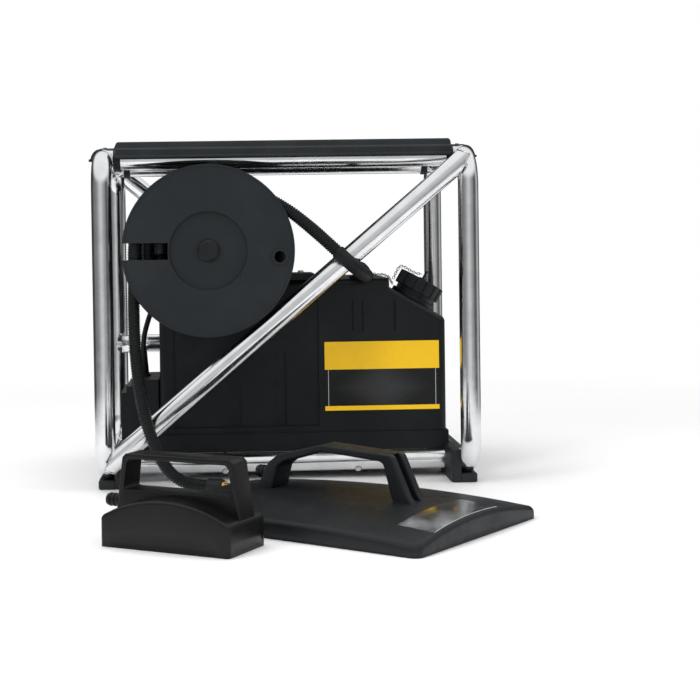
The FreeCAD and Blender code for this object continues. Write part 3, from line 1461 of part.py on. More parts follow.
def make_small_handle():
    """Frame handle on a low spine that follows the plate's arch."""
    handle = body("small_handle", *on_plate("small", "0", "small_handle_across", "0"), SMALL_TURN)
    foot, reach, top = "small_handle_foot", "small_handle_reach", "small_handle_top"
    bar, bevel = "small_handle_bar", "small_handle_bevel"
    pad(handle, "small_handle_pad", outline(handle, "XZ_Plane", "small_handle_line", [
        (f"0 - {foot}", "small_end - plate_wall"), (foot, "small_end - plate_wall"),
        (reach, f"{top} - {bevel}"),
        (f"{reach} - {bevel}", top), (f"0 - {reach} + {bevel}", top), (f"0 - {reach}", f"{top} - {bevel}"),
    ]), "small_handle_width", both_ways=True)
    window = outline(handle, "XZ_Plane", "small_window_line", [
        (f"0 - {foot} + {bar} + {bevel}", "small_spine"), (f"{foot} - {bar} - {bevel}", "small_spine"),
        (f"{reach} - {bar}", f"{top} - {bar} - {bevel}"), (f"{reach} - {bar} - {bevel}", f"{top} - {bar}"),
        (f"0 - {reach} + {bar} + {bevel}", f"{top} - {bar}"),
        (f"0 - {reach} + {bar}", f"{top} - {bar} - {bevel}"),
    ], "0 - small_width")
    pocket(handle, "small_handle_window", window, "2 * small_width", backwards=True)
    seats = inlet_seats("small", SMALL_TURN, f"0 - {foot} + 1", "small_handle_across", "small_inlet_z")
    keep(cut("small_plate_handle", handle, small_dome("small_handle_trimmer", "0"), *seats))
    make_inlet("small", SMALL_TURN, f"0 - {foot} + 1", "small_handle_across", "small_inlet_z")


make_shell("large", LARGE_TURN, large_dome)
make_baffle("large", LARGE_TURN, 7, 10)
make_large_handle()
make_large_label()
make_shell("small", SMALL_TURN, small_dome)
make_baffle("small", SMALL_TURN, 3, 7)
make_small_handle()


# --- cap chain and hose connector -----------------------------------------------------------------

def chain(name, points):
    """Small round links along a route, each at right angles to the last."""
    links = []
    for number, (centre, heading) in enumerate(stations(Part.makePolygon(points), size("link_pitch"))):
        side = heading.cross(Vector(0, 0, 1) if abs(heading.z) < 0.9 else Vector(1, 0, 0)).normalize()
        axis = side if number % 2 else heading.cross(side)
        links.append(Part.makeTorus(size("link_radius"), size("link_wire"), centre, axis))
    shaped(name, Part.makeCompound(links))


def make_chain():
    """Upper chain, which rises with the cap's stud, and the lower chain to the elbow's eye."""
    foot_z = (size("tank_top") - size("step_drop")
              - (size("neck_x") - size("step_x")) * SLOPE_FALL / (size("tank_right") - size("step_x")))
    neck = Placement(Vector(size("neck_x"), size("neck_y"), foot_z), SLOPE_TURN)
    roof = size("neck_height") + size("fit_gap") + size("seal_height") + size("cap_roof")
    side = size("cap_radius") + size("link_radius") + size("link_wire")
    above = roof + size("link_radius") + size("link_wire")
    upper = [
        (-5.6, above + 3.0), (-12.0, above + 0.8), (-22.0, above + 0.6), (-30.0, above + 1.2),
        (-side - 1.6, above - 1.6), (-side - 1.8, above - 10.0), (-side - 1.2, above - 18.0),
    ]
    chain("cap_chain", [neck.multVec(Vector(across, 0, up)) for across, up in upper])
    chain("lower_chain", [Vector(*point) for point in LOWER_CHAIN])


LOWER_CHAIN = [
    (115.8, 95.0, 259.4),
    (123.0, 99.0, 258.0),
    (131.0, 104.5, 258.0),
    (138.5, 109.5, 254.5),
    (142.0, 113.0, 248.5),
    (143.6, 115.5, 246.0),
]


def turned_shape(profile, start, heading):
    """Solid turned about a heading from a profile of radius and distance."""
    side = heading.cross(Vector(0, 0, 1)).normalize()
    rim = [start + side * radius + heading * far for radius, far in [*profile, profile[0]]]
    return Part.Face(Part.makePolygon(rim)).revolve(start, heading, 360)


def make_connector():
    """Connector on the hose's free end, and the brass nozzle that stands out of it."""
    start, before = Vector(*FREE_RUN[-1]), Vector(*FREE_RUN[-2])
    heading = (start - before).normalize()
    radius, length, bore = size("connector_radius"), size("connector_length"), size("hose_bore")
    shaped("hose_connector", turned_shape([
        (bore, 0), (radius * 0.86, 0), (radius, length * 0.15), (radius, length * 0.85),
        (radius * 0.88, length),
        (size("nozzle_radius"), length), (size("nozzle_radius"), length * 0.5), (bore, length * 0.5),
    ], start, heading))
    ring, ring_end = size("nozzle_ring"), length + size("nozzle_ring_length")
    barrel, bore = size("nozzle_radius"), size("nozzle_bore")
    end = ring_end + size("nozzle_length")
    shaped("brass_nozzle", turned_shape([
        (bore, length * 0.5), (barrel, length * 0.5), (barrel, length), (ring, length), (ring, ring_end),
        (barrel, ring_end), (barrel, ring_end + size("nozzle_barrel")), (size("nozzle_tip"), end),
        (bore, end),
    ], start, heading))


# --- heater and mains lead ------------------------------------------------------------------------

HOUSING_RIGHT = "(tank_left - skirt_lip)"
HOUSING_MIDDLE = "((housing_front + housing_back) / 2)"


def make_housing():
    """Stepped cover over the heater's terminals, open towards the tank."""
    def section(wall, right):
        floor, top = f"tank_bottom + {wall}", f"housing_top - {wall}"
        left = f"housing_left + {wall}"
        return [
            (left, floor), (right, floor), (right, top), (f"{left} + 2 * ledge_step", top),
            (f"{left} + 2 * ledge_step", f"{top} - ledge_drop"),
            (f"{left} + ledge_step", f"{top} - ledge_drop"),
            (f"{left} + ledge_step", f"{top} - 2 * ledge_drop"), (left, f"{top} - 2 * ledge_drop"),
        ]

    outside = body("housing_outside")
    pad(outside, "housing_pad", outline(outside, "XZ_Plane", "housing_section", section("0", HOUSING_RIGHT),
                                        "0 - housing_front"), "housing_back - housing_front", backwards=True)
    inside = body("housing_inside")
    pad(inside, "housing_hollow", outline(inside, "XZ_Plane", "hollow_section",
                                          section("housing_wall", f"{HOUSING_RIGHT} + housing_wall"),
                                          "0 - housing_front - housing_wall"),
        "housing_back - housing_front - 2 * housing_wall", backwards=True)
    lead_hole = cylinder("housing_lead_hole", "lead_radius + cope_gap", "4 * housing_wall",
                         ("gland_x", "gland_y", "housing_top - 2 * housing_wall"))
    keep(cut("heater_housing", outside, inside, lead_hole))


def make_element():
    """Bent heating rod on a flange, and the thermostat beside its terminals."""
    middle = (size("housing_front") + size("housing_back")) / 2
    half, up = size("element_gap") / 2, size("element_z")
    left = size("tank_left") - size("skirt_lip")
    far, near = left + size("element_reach"), left - size("terminal_length")
    corners = [Vector(near, middle - half, up), Vector(far, middle - half, up),
               Vector(far + half, middle, up), Vector(far, middle + half, up),
               Vector(near, middle + half, up)]
    wire = Part.Wire([
        Part.LineSegment(corners[0], corners[1]).toShape(),
        Part.Arc(corners[1], corners[2], corners[3]).toShape(),
        Part.LineSegment(corners[3], corners[4]).toShape(),
    ])
    flange = Part.makeCylinder(size("element_flange"), size("skirt_lip"), Vector(left, middle, up),
                               Vector(1, 0, 0))
    shaped("heating_element", flange.fuse(pipe(wire, size("element_radius"))).removeSplitter())
    keep(cylinder("thermostat", "thermostat_radius", "thermostat_length",
                  (f"{HOUSING_RIGHT} - thermostat_length", HOUSING_MIDDLE, "element_z"), ALONG_X))


def make_gland_and_clip():
    """Tapered gland on the housing's top, and a clip on the tank's side."""
    keep(turned("lead_gland", [
        ("0", "0"), ("gland_radius * 1.3", "0"), ("gland_radius * 1.3", "housing_wall"),
        ("gland_radius", "housing_wall"), ("lead_radius + 0.4 * housing_wall", "gland_height"),
        ("0", "gland_height"),
    ], "gland_x", "gland_y", "housing_top"))
    reach = "(lead_radius + clip_slack + lead_clip_wall)"
    block = box("clip_block", (f"tank_left - clip_x + {reach}", f"2 * {reach}", "clip_height"),
                (f"clip_x - {reach}", f"gland_y - {reach}", "clip_z"))
    way = cylinder("clip_way", "lead_radius + clip_slack", "2 * clip_height",
                   ("clip_x", "gland_y", "clip_z - clip_height / 2"))
    keep(cut("lead_clip", block, way))


GLAND_TOP = size("housing_top") + size("gland_height")
COIL_FLOOR = size("lead_radius") + 0.05
COIL_TURNS = 9.5
COIL_LAYERS = 4
LAYER_TURNS = 2.5
CLIMB_TURNS = 0.25
COIL_IN = size("coil_radius") - LAYER_TURNS / 2 * size("coil_pitch")
COIL_OUT = size("coil_radius") + LAYER_TURNS / 2 * size("coil_pitch")
COIL_START_X = size("coil_x") - COIL_OUT
COIL_SLANT = size("coil_pitch") / (2 * math.pi * COIL_OUT)

LEAD_RUN = [
    (size("gland_x"), size("gland_y"), GLAND_TOP),
    (-183.5, 150.0, 176.0),
    (-178.5, 150.0, 196.0),
    (-170.0, 150.0, 220.0),
    (-170.0, 150.3, 246.0),
    (-169.0, 161.0, 269.0),
    (-166.0, 183.0, 281.0),
    (-161.5, 211.0, 284.0),
    (-157.0, 240.0, 276.0),
    (-153.0, 268.0, 258.0),
    (-150.0, 292.0, 230.0),
    (-148.5, 309.0, 194.0),
    (-147.5, 319.0, 152.0),
    (-147.0, 325.0, 110.0),
    (-146.0, 328.5, 73.0),
    (-143.0, 333.0, 45.0),
    (-136.0, 341.0, 24.0),
    (-124.5, 353.0, 9.5),
    (-112.5, 368.0, COIL_FLOOR + 0.4),
    (COIL_START_X - 16.0 * COIL_SLANT, 384.0, COIL_FLOOR),
    (COIL_START_X, size("coil_y"), COIL_FLOOR),
]


def coil_point(turn):
    """Place on the coil: flat spirals, in and out again, that climb where they reverse."""
    number = min(max(round(turn / LAYER_TURNS), 1), COIL_LAYERS - 1)
    past = turn - number * LAYER_TURNS
    rounded = past ** 2 / (2 * CLIMB_TURNS) + CLIMB_TURNS / 2
    step = size("coil_pitch") * (rounded if abs(past) < CLIMB_TURNS else abs(past))
    reach = COIL_IN + step if number % 2 else COIL_OUT - step
    share = min(max((past + CLIMB_TURNS) / (2 * CLIMB_TURNS), 0.0), 1.0)
    climb = number - 1 + 3 * share ** 2 - 2 * share ** 3
    angle = math.pi - 2 * math.pi * turn
    return Vector(size("coil_x") + reach * math.cos(angle), size("coil_y") + reach * math.sin(angle),
                  COIL_FLOOR + size("coil_pitch") * climb)


def make_lead():
    """Mains lead: the run from the gland to the floor, its coil, the tail and the plug."""
    diameter, radius = 2 * size("lead_radius"), size("lead_radius")
    shaped("mains_lead", pipe(rounded_wire(LEAD_RUN, "mains_lead", diameter), radius))
    wire = wound_wire(coil_point, COIL_TURNS, 4, 0, 0)
    least_self_gap(wire, diameter, "lead_coil")
    shaped("lead_coil", pipe(wire, radius))
    end = coil_point(COIL_TURNS)
    tail = [
        tuple(end), (end.x, end.y - 14.0, end.z), (-12.5, 371.0, 23.4), (-2.0, 359.5, 20.2),
        (13.0, 353.0, size("plug_radius")), (29.0, 353.0, size("plug_radius")),
    ]
    shaped("lead_tail", pipe(rounded_wire(tail, "lead_tail", diameter), radius))
    length, relief = size("plug_length"), size("plug_relief")
    plug = turned_shape([
        (0, 0), (radius * 1.2, 0), (radius * 2.2, relief), (size("plug_radius"), relief + 5),
        (size("plug_radius"), relief + length), (0, relief + length),
    ], Vector(*tail[-1]), Vector(1, 0, 0))
    face = Vector(*tail[-1]) + Vector(relief + length, 0, 0)
    pins = [
        Part.makeCylinder(size("pin_radius"), size("pin_length"),
                          face + Vector(0, way * size("pin_spacing") / 2, 0), Vector(1, 0, 0))
        for way in (-1, 1)
    ]
    shaped("mains_plug", plug.fuse(pins).removeSplitter())


make_chain()
make_connector()
make_housing()
make_element()
make_gland_and_clip()
make_lead()


# --- check and export -----------------------------------------------------------------------------

def check_everything():
    """Stop if a feature failed or a sub-part is not a sound solid."""
    doc.recompute()
    failed = [item.Name for item in doc.Objects if {"Invalid", "Error"} & set(item.State)]
    if failed:
        raise RuntimeError(f"features failed: {failed}")
    for piece in parts:
        if piece.Shape.isNull() or not piece.Shape.isValid() or not piece.Shape.Solids:
            raise RuntimeError(f"{piece.Label} is not a sound solid")


def export_parts():
    """One STEP file for each sub-part, named by its Label."""
    os.makedirs("parts", exist_ok=True)
    for piece in parts:
        piece.Shape.exportStep(os.path.join("parts", f"{piece.Label}.step"))
    print(f"{len(parts)} sub-parts")


check_everything()
export_parts()
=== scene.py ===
"""Wallpaper steamer: a water tank and a hose reel in a chromed tube cage, with two steam plates on the floor.

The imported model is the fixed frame, and this script dresses it. Sizes in the classes are millimetres on
the cage's own axes: X to the right, Y from the front posts to the back, Z up. Cord routes are metres in
the frame.
"""

import logging
import math
from dataclasses import dataclass, field
from enum import Enum
from typing import Optional, Sequence

import bpy
import numpy as np
from mathutils import Matrix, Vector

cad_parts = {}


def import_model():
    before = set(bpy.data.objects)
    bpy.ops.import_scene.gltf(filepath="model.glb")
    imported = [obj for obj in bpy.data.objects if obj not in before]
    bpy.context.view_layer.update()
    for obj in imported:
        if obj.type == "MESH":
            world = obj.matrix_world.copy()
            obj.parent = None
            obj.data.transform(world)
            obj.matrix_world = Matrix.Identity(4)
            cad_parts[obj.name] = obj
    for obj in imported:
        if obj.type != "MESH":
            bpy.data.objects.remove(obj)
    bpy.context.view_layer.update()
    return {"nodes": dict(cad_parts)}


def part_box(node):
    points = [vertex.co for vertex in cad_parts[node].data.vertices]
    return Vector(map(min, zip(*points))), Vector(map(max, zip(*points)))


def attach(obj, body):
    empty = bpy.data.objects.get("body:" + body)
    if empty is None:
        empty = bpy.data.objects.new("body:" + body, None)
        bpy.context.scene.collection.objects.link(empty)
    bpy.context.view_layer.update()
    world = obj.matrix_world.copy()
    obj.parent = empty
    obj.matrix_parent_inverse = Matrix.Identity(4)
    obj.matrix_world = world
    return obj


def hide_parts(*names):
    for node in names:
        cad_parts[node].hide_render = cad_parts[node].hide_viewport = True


log = logging.getLogger("steamer")

MM = 0.001
CAGE_ORIGIN = np.array([-5.915, 48.158, 0.0])
Colour = tuple[float, float, float]
Place = tuple[float, float, float]
Outline = tuple[tuple[float, float], ...]

ACROSS = (1, 0, 0)
BACKWARDS = (0, 1, 0)
UPWARDS = (0, 0, 1)

# Kept nodes: points nearer than the gap (metres) are welded, faces flatter than the first angle (degrees)
# are merged, and edges sharper than the second are rounded.
WELD_GAP = 0.00001
FLAT_ANGLE = 0.4
EDGE_ANGLE = 32.0

# Points of the cords' and the chain's routes, in metres of the frame.
OUTLET_ROUTE = [
    (-0.13378, 0.04786, 0.38005), (-0.10222, 0.04786, 0.38590), (-0.07057, 0.04786, 0.38060),
    (-0.00741, 0.04786, 0.34550), (0.01809, 0.04016, 0.32500), (0.03809, 0.02866, 0.30650),
    (0.05509, 0.02216, 0.29000),
]
SLEEVE_ROUTE = [
    (0.05509, 0.02216, 0.29000), (0.06613, 0.01793, 0.27927), (0.07718, 0.02076, 0.26960),
    (0.08649, 0.02986, 0.26260), (0.09218, 0.04336, 0.25960), (0.09268, 0.06736, 0.26060),
    (0.09308, 0.10416, 0.26600), (0.09308, 0.12816, 0.26600),
]
FREE_ROUTE = [
    (-0.16081, 0.04786, 0.36429), (-0.18144, 0.04786, 0.33970), (-0.19242, 0.04786, 0.30955),
    (-0.19292, 0.04776, 0.26200), (-0.19411, 0.04716, 0.20800), (-0.19151, 0.04116, 0.15500),
    (-0.18541, 0.03316, 0.11200), (-0.17841, 0.02666, 0.08200), (-0.16991, 0.02416, 0.05850),
    (-0.16092, 0.02466, 0.03850), (-0.15041, 0.02566, 0.02330), (-0.13691, 0.02566, 0.01420),
    (-0.12222, 0.02316, 0.00990), (-0.10692, 0.01696, 0.00990),
]
LEAD_ROUTE = [
    (-0.18942, 0.19816, 0.16100), (-0.18942, 0.19816, 0.17600), (-0.18441, 0.19816, 0.19600),
    (-0.17591, 0.19816, 0.22000), (-0.17591, 0.19846, 0.24600), (-0.17491, 0.20916, 0.26900),
    (-0.17191, 0.23116, 0.28100), (-0.16741, 0.25916, 0.28400), (-0.16292, 0.28816, 0.27600),
    (-0.15892, 0.31616, 0.25800), (-0.15591, 0.34016, 0.23000), (-0.15441, 0.35716, 0.19400),
    (-0.15341, 0.36716, 0.15200), (-0.15291, 0.37316, 0.11000), (-0.15191, 0.37666, 0.07300),
    (-0.14891, 0.38116, 0.04500), (-0.14191, 0.38916, 0.02400), (-0.13042, 0.40116, 0.00950),
    (-0.11842, 0.41616, 0.00385), (-0.11307, 0.43216, 0.00345), (-0.11267, 0.44816, 0.00345),
]
TAIL_ROUTE = [
    (-0.018415, 0.419158, 0.0234), (-0.007915, 0.407658, 0.0202), (0.007085, 0.401158, 0.017),
    (0.023085, 0.401158, 0.017),
]
LOWER_CHAIN = [
    (0.10988, 0.14316, 0.25940), (0.11708, 0.14716, 0.25800), (0.12509, 0.15266, 0.25800),
    (0.13259, 0.15766, 0.25450), (0.13609, 0.16116, 0.24850), (0.13769, 0.16366, 0.24600),
]


class Body(Enum):
    """Bodies that pieces ride on."""

    CAGE = "root"
    REEL = "reel"
    CAP_SWIVEL = "cap_swivel"
    LARGE_PLATE = "large_plate"
    SMALL_PLATE = "small_plate"


class Wrap(Enum):
    """Which directions of a grid close on themselves."""

    OPEN = "open"
    AROUND = "around"
    BOTH = "both"


# --- surfaces worked out as whole arrays ----------------------------------------------------------


def unit(vectors: np.ndarray) -> np.ndarray:
    """Vectors divided by their own lengths."""
    return vectors / np.linalg.norm(vectors, axis=-1, keepdims=True)


def in_frame(points: np.ndarray) -> np.ndarray:
    """Cage millimetres moved by the cage's origin and scaled to metres of the frame."""
    return (np.asarray(points, float) + CAGE_ORIGIN) * MM


def smooth(share: np.ndarray) -> np.ndarray:
    """Cubic 3 s² - 2 s³, which leaves 0 and reaches 1 level."""
    return 3 * share ** 2 - 2 * share ** 3


def rounded_corners(points: Sequence, radius: float, steps: int, closed: bool = True) -> np.ndarray:
    """Polyline with an arc in each corner.

    An arc's centre lies on its corner's bisector, and the arc swings between the two feet of its radius;
    a radius too large for its runs shrinks to nearly half of the shorter one.

    Args:
        points: Corners in order, in two or three dimensions.
        radius: Radius of every arc.
        steps: Points on each arc.
        closed: Whether the last corner joins the first.

    Returns:
        The points of all arcs in order, with the two bare ends of an open line.
    """
    corners = np.asarray(points, float)
    if closed:
        inner, before, after = corners, np.roll(corners, 1, 0), np.roll(corners, -1, 0)
    else:
        inner, before, after = corners[1:-1], corners[:-2], corners[2:]
    back, on = unit(before - inner), unit(after - inner)
    half = np.arccos(np.clip((back * on).sum(1), -1, 1)) / 2
    room = 0.49 * np.minimum(np.linalg.norm(before - inner, axis=1), np.linalg.norm(after - inner, axis=1))
    reach = np.minimum(radius / np.tan(half), room)[:, None]
    centre = inner + unit(back + on) * reach / np.cos(half)[:, None]
    swing = (np.pi - 2 * half)[:, None]
    share = np.linspace(0, 1, steps)
    first = (np.sin((1 - share) * swing) / np.sin(swing))[..., None]
    last = (np.sin(share * swing) / np.sin(swing))[..., None]
    arcs = centre[:, None] + first * (inner + back * reach - centre)[:, None]
    arcs = arcs + last * (inner + on * reach - centre)[:, None]
    line = arcs.reshape(-1, corners.shape[1])
    return line if closed else np.concatenate([corners[:1], line, corners[-1:]])


def refined(line: np.ndarray, parts: int, closed: bool) -> np.ndarray:
    """Each run of a line divided evenly into a number of parts by linear mixing of its ends."""
    ends = np.roll(line, -1, 0) if closed else line[1:]
    starts = line if closed else line[:-1]
    share = np.linspace(0, 1, parts, endpoint=False)[:, None]
    mixed = (starts[:, None] * (1 - share) + ends[:, None] * share).reshape(-1, line.shape[1])
    return mixed if closed else np.concatenate([mixed, line[-1:]])


def resampled(line: np.ndarray, spacing: float) -> np.ndarray:
    """Points at an even spacing along a line, each coordinate interpolated over the length passed."""
    passed = np.concatenate([[0.0], np.cumsum(np.linalg.norm(np.diff(line, axis=0), axis=1))])
    stations = np.linspace(0, passed[-1], max(2, round(passed[-1] / spacing)) + 1)
    return np.stack([np.interp(stations, passed, line[:, axis]) for axis in range(3)], axis=1)


def tube_grid(path: np.ndarray, radii: np.ndarray, sides: int, steady: Sequence[float],
              closed: bool = False) -> np.ndarray:
    """Circles square to a path.

    Each circle's first radius is the steady direction less its part along the heading, and its second is
    their cross product.

    Args:
        path: Points of the centre line.
        radii: One radius, or one for each point.
        sides: Points round each circle.
        steady: A direction that the path never takes.
        closed: Whether the path closes.

    Returns:
        Grid of path points by points round.
    """
    ahead = np.roll(path, -1, 0) - np.roll(path, 1, 0) if closed else np.gradient(path, axis=0)
    heading = unit(ahead)
    held = np.asarray(steady, float)
    across = unit(held - heading * (heading @ held)[:, None])
    up = np.cross(heading, across)
    angle = np.linspace(0, 2 * np.pi, sides, endpoint=False)
    circle = across[:, None] * np.cos(angle)[:, None] + up[:, None] * np.sin(angle)[:, None]
    return path[:, None] + circle * np.broadcast_to(np.asarray(radii, float), len(path))[:, None, None]


def turned_grid(profile: np.ndarray, base: Sequence[float], heading: Sequence[float],
                sides: int) -> np.ndarray:
    """Profile carried once round an axis: base + height * axis + radius * (cos, sin).

    Args:
        profile: Rows of radius and height.
        base: Point of the axis at no height.
        heading: Direction of the axis.
        sides: Points round each circle.

    Returns:
        Grid of profile points by points round.
    """
    axis = unit(np.asarray(heading, float))
    spare = np.array([1.0, 0.0, 0.0]) if abs(axis[0]) < 0.9 else np.array([0.0, 1.0, 0.0])
    side = unit(spare - axis * (axis @ spare))
    other = np.cross(axis, side)
    angle = np.linspace(0, 2 * np.pi, sides, endpoint=False)[:, None]
    spoke = side * np.cos(angle) + other * np.sin(angle)
    return np.asarray(base, float) + profile[:, 1, None, None] * axis + profile[:, 0, None, None] * spoke


def rounded_rectangle(half_x: float, half_y: float, radius: float, steps: int) -> np.ndarray:
    """Outline of a rectangle about the origin whose corners are quarter circles."""
    corners = [(half_x, half_y), (-half_x, half_y), (-half_x, -half_y), (half_x, -half_y)]
    return rounded_corners(corners, radius, steps)


@dataclass
class Shape:
    """Mesh gathered from grids; each grid's faces are turned so that its signed volume is positive."""

    name: str
    points: list[np.ndarray] = field(default_factory=list)
    faces: list[list[int]] = field(default_factory=list)
    count: int = 0

    def add(self, grid: np.ndarray, wrap: Wrap = Wrap.AROUND, capped: bool = False) -> "Shape":
        """Quads between neighbours of a grid, and flat faces over its two end rings if capped.

        Args:
            grid: Points, rows by columns by three, in metres of the frame.
            wrap: Which directions close.
            capped: Whether the first and last rows are closed by a face.

        Returns:
            The shape itself.
        """
        rows, columns = grid.shape[:2]
        index = np.arange(rows * columns).reshape(rows, columns)
        if wrap is not Wrap.OPEN:
            index = np.concatenate([index, index[:, :1]], axis=1)
        if wrap is Wrap.BOTH:
            index = np.concatenate([index, index[:1]], axis=0)
        quads = np.stack([index[:-1, :-1], index[1:, :-1], index[1:, 1:], index[:-1, 1:]], axis=-1)
        quads = quads.reshape(-1, 4)
        points = grid.reshape(-1, 3)
        a, b, c, d = (points[quads[:, corner]] - points.mean(0) for corner in range(4))
        volume = (np.cross(a, b) * c).sum() + (np.cross(a, c) * d).sum()
        faces = (quads + self.count).tolist()
        if capped:
            first, last = index[0, :-1], index[-1, :-1][::-1]
            faces += [(first + self.count).tolist(), (last + self.count).tolist()]
        self.faces += faces if volume >= 0 else [face[::-1] for face in faces]
        self.points.append(points)
        self.count += len(points)
        return self

    def build(self, sharp: float = 40.0) -> bpy.types.Object:
        """Object at the origin with the gathered mesh, smooth except at edges sharper than an angle."""
        mesh = bpy.data.meshes.new(self.name)
        mesh.from_pydata(np.concatenate(self.points).tolist(), [], self.faces)
        mesh.validate()
        mesh.shade_smooth()
        mesh.set_sharp_from_angle(angle=math.radians(sharp))
        piece = bpy.data.objects.new(self.name, mesh)
        bpy.context.scene.collection.objects.link(piece)
        return piece


def thickened(piece: bpy.types.Object, wall: float) -> bpy.types.Object:
    """Wall grown inwards from a shell's faces, in millimetres."""
    solid = piece.modifiers.new("wall", "SOLIDIFY")
    solid.thickness = wall * MM
    solid.offset = -1.0
    return piece


def soften(node: bpy.types.Object, width: float, segments: int) -> None:
    """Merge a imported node's flat faces and round its sharp edges, as moulding leaves them.

    Args:
        node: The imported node's object.
        width: Width of the rounding in millimetres.
        segments: Faces across the rounding.
    """
    weld = node.modifiers.new("merged", "WELD")
    weld.merge_threshold = WELD_GAP
    flat = node.modifiers.new("flat_faces", "DECIMATE")
    flat.decimate_type = "DISSOLVE"
    flat.angle_limit = math.radians(FLAT_ANGLE)
    edge = node.modifiers.new("edge_round", "BEVEL")
    edge.width = width * MM
    edge.segments = segments
    edge.limit_method = "ANGLE"
    edge.angle_limit = math.radians(EDGE_ANGLE)
    edge.use_clamp_overlap = True
    shade = node.modifiers.new("even_shade", "WEIGHTED_NORMAL")
    shade.keep_sharp = True
    node.data.polygons.foreach_set("use_smooth", np.ones(len(node.data.polygons), bool))


# --- shader groups and finishes -------------------------------------------------------------------


class Graph:
    """Short way to make and join the nodes of one tree."""

    def __init__(self, tree: bpy.types.NodeTree) -> None:
        """Keep the tree that nodes go into."""
        self.tree = tree

    def socket(self, made: bpy.types.Node, name: str) -> bpy.types.NodeSocket:
        """Input by its number, as in i0, or by its name, with _ for a space."""
        numbered = name[0] == "i" and name[1:].isdigit()
        return made.inputs[int(name[1:]) if numbered else name.replace("_", " ")]

    def feed(self, socket: bpy.types.NodeSocket, value: object) -> None:
        """Join a socket to another node's output, or set its value."""
        if isinstance(value, bpy.types.NodeSocket):
            self.tree.links.new(value, socket)
        else:
            socket.default_value = value

    def node(self, kind: str, settings: Optional[dict] = None, **inputs: object) -> bpy.types.Node:
        """New node with settings and inputs; an input may be a value or another node's output.

        Args:
            kind: The node's type name.
            settings: Values of the node's own properties.
            inputs: Values or outputs by the names that socket() reads.

        Returns:
            The node.
        """
        made = self.tree.nodes.new(kind)
        for name, value in (settings or {}).items():
            setattr(made, name, value)
        for name, value in inputs.items():
            self.feed(self.socket(made, name), value)
        return made

    def mixed(self, share: object, first: object, second: object) -> bpy.types.NodeSocket:
        """Colour between two colours by a share."""
        return self.node("ShaderNodeMix", {"data_type": "RGBA"}, i0=share, i6=first, i7=second).outputs[2]

    def sum_of(self, operation: str, first: object, second: object) -> bpy.types.NodeSocket:
        """Result of one arithmetic step on two numbers."""
        return self.node("ShaderNodeMath", {"operation": operation}, i0=first, i1=second).outputs[0]

    def product(self, first: object, second: object) -> bpy.types.NodeSocket:
        """Product of two numbers."""
        return self.sum_of("MULTIPLY", first, second)

    def off(self, value: bpy.types.NodeSocket, middle: float) -> bpy.types.NodeSocket:
        """How far a number lies from a middle, either way."""
        return self.sum_of("ABSOLUTE", self.sum_of("SUBTRACT", value, middle), 0.0)

    def ranged(self, value: bpy.types.NodeSocket, low: float, high: float, to_low: float = 0.0,
               to_high: float = 1.0) -> bpy.types.NodeSocket:
        """Number carried smoothly from one range to another, and held at its ends."""
        return self.node("ShaderNodeMapRange", {"interpolation_type": "SMOOTHSTEP"}, Value=value,
                         From_Min=low, From_Max=high, To_Min=to_low, To_Max=to_high).outputs["Result"]

    def scaled(self, value: bpy.types.NodeSocket, low: float, high: float) -> bpy.types.NodeSocket:
        """Number carried evenly from a range to 0…1."""
        return self.node("ShaderNodeMapRange", Value=value, From_Min=low, From_Max=high).outputs["Result"]


def rgba(colour: Colour) -> tuple[float, float, float, float]:
    """Colour with full cover."""
    return (*colour, 1.0)


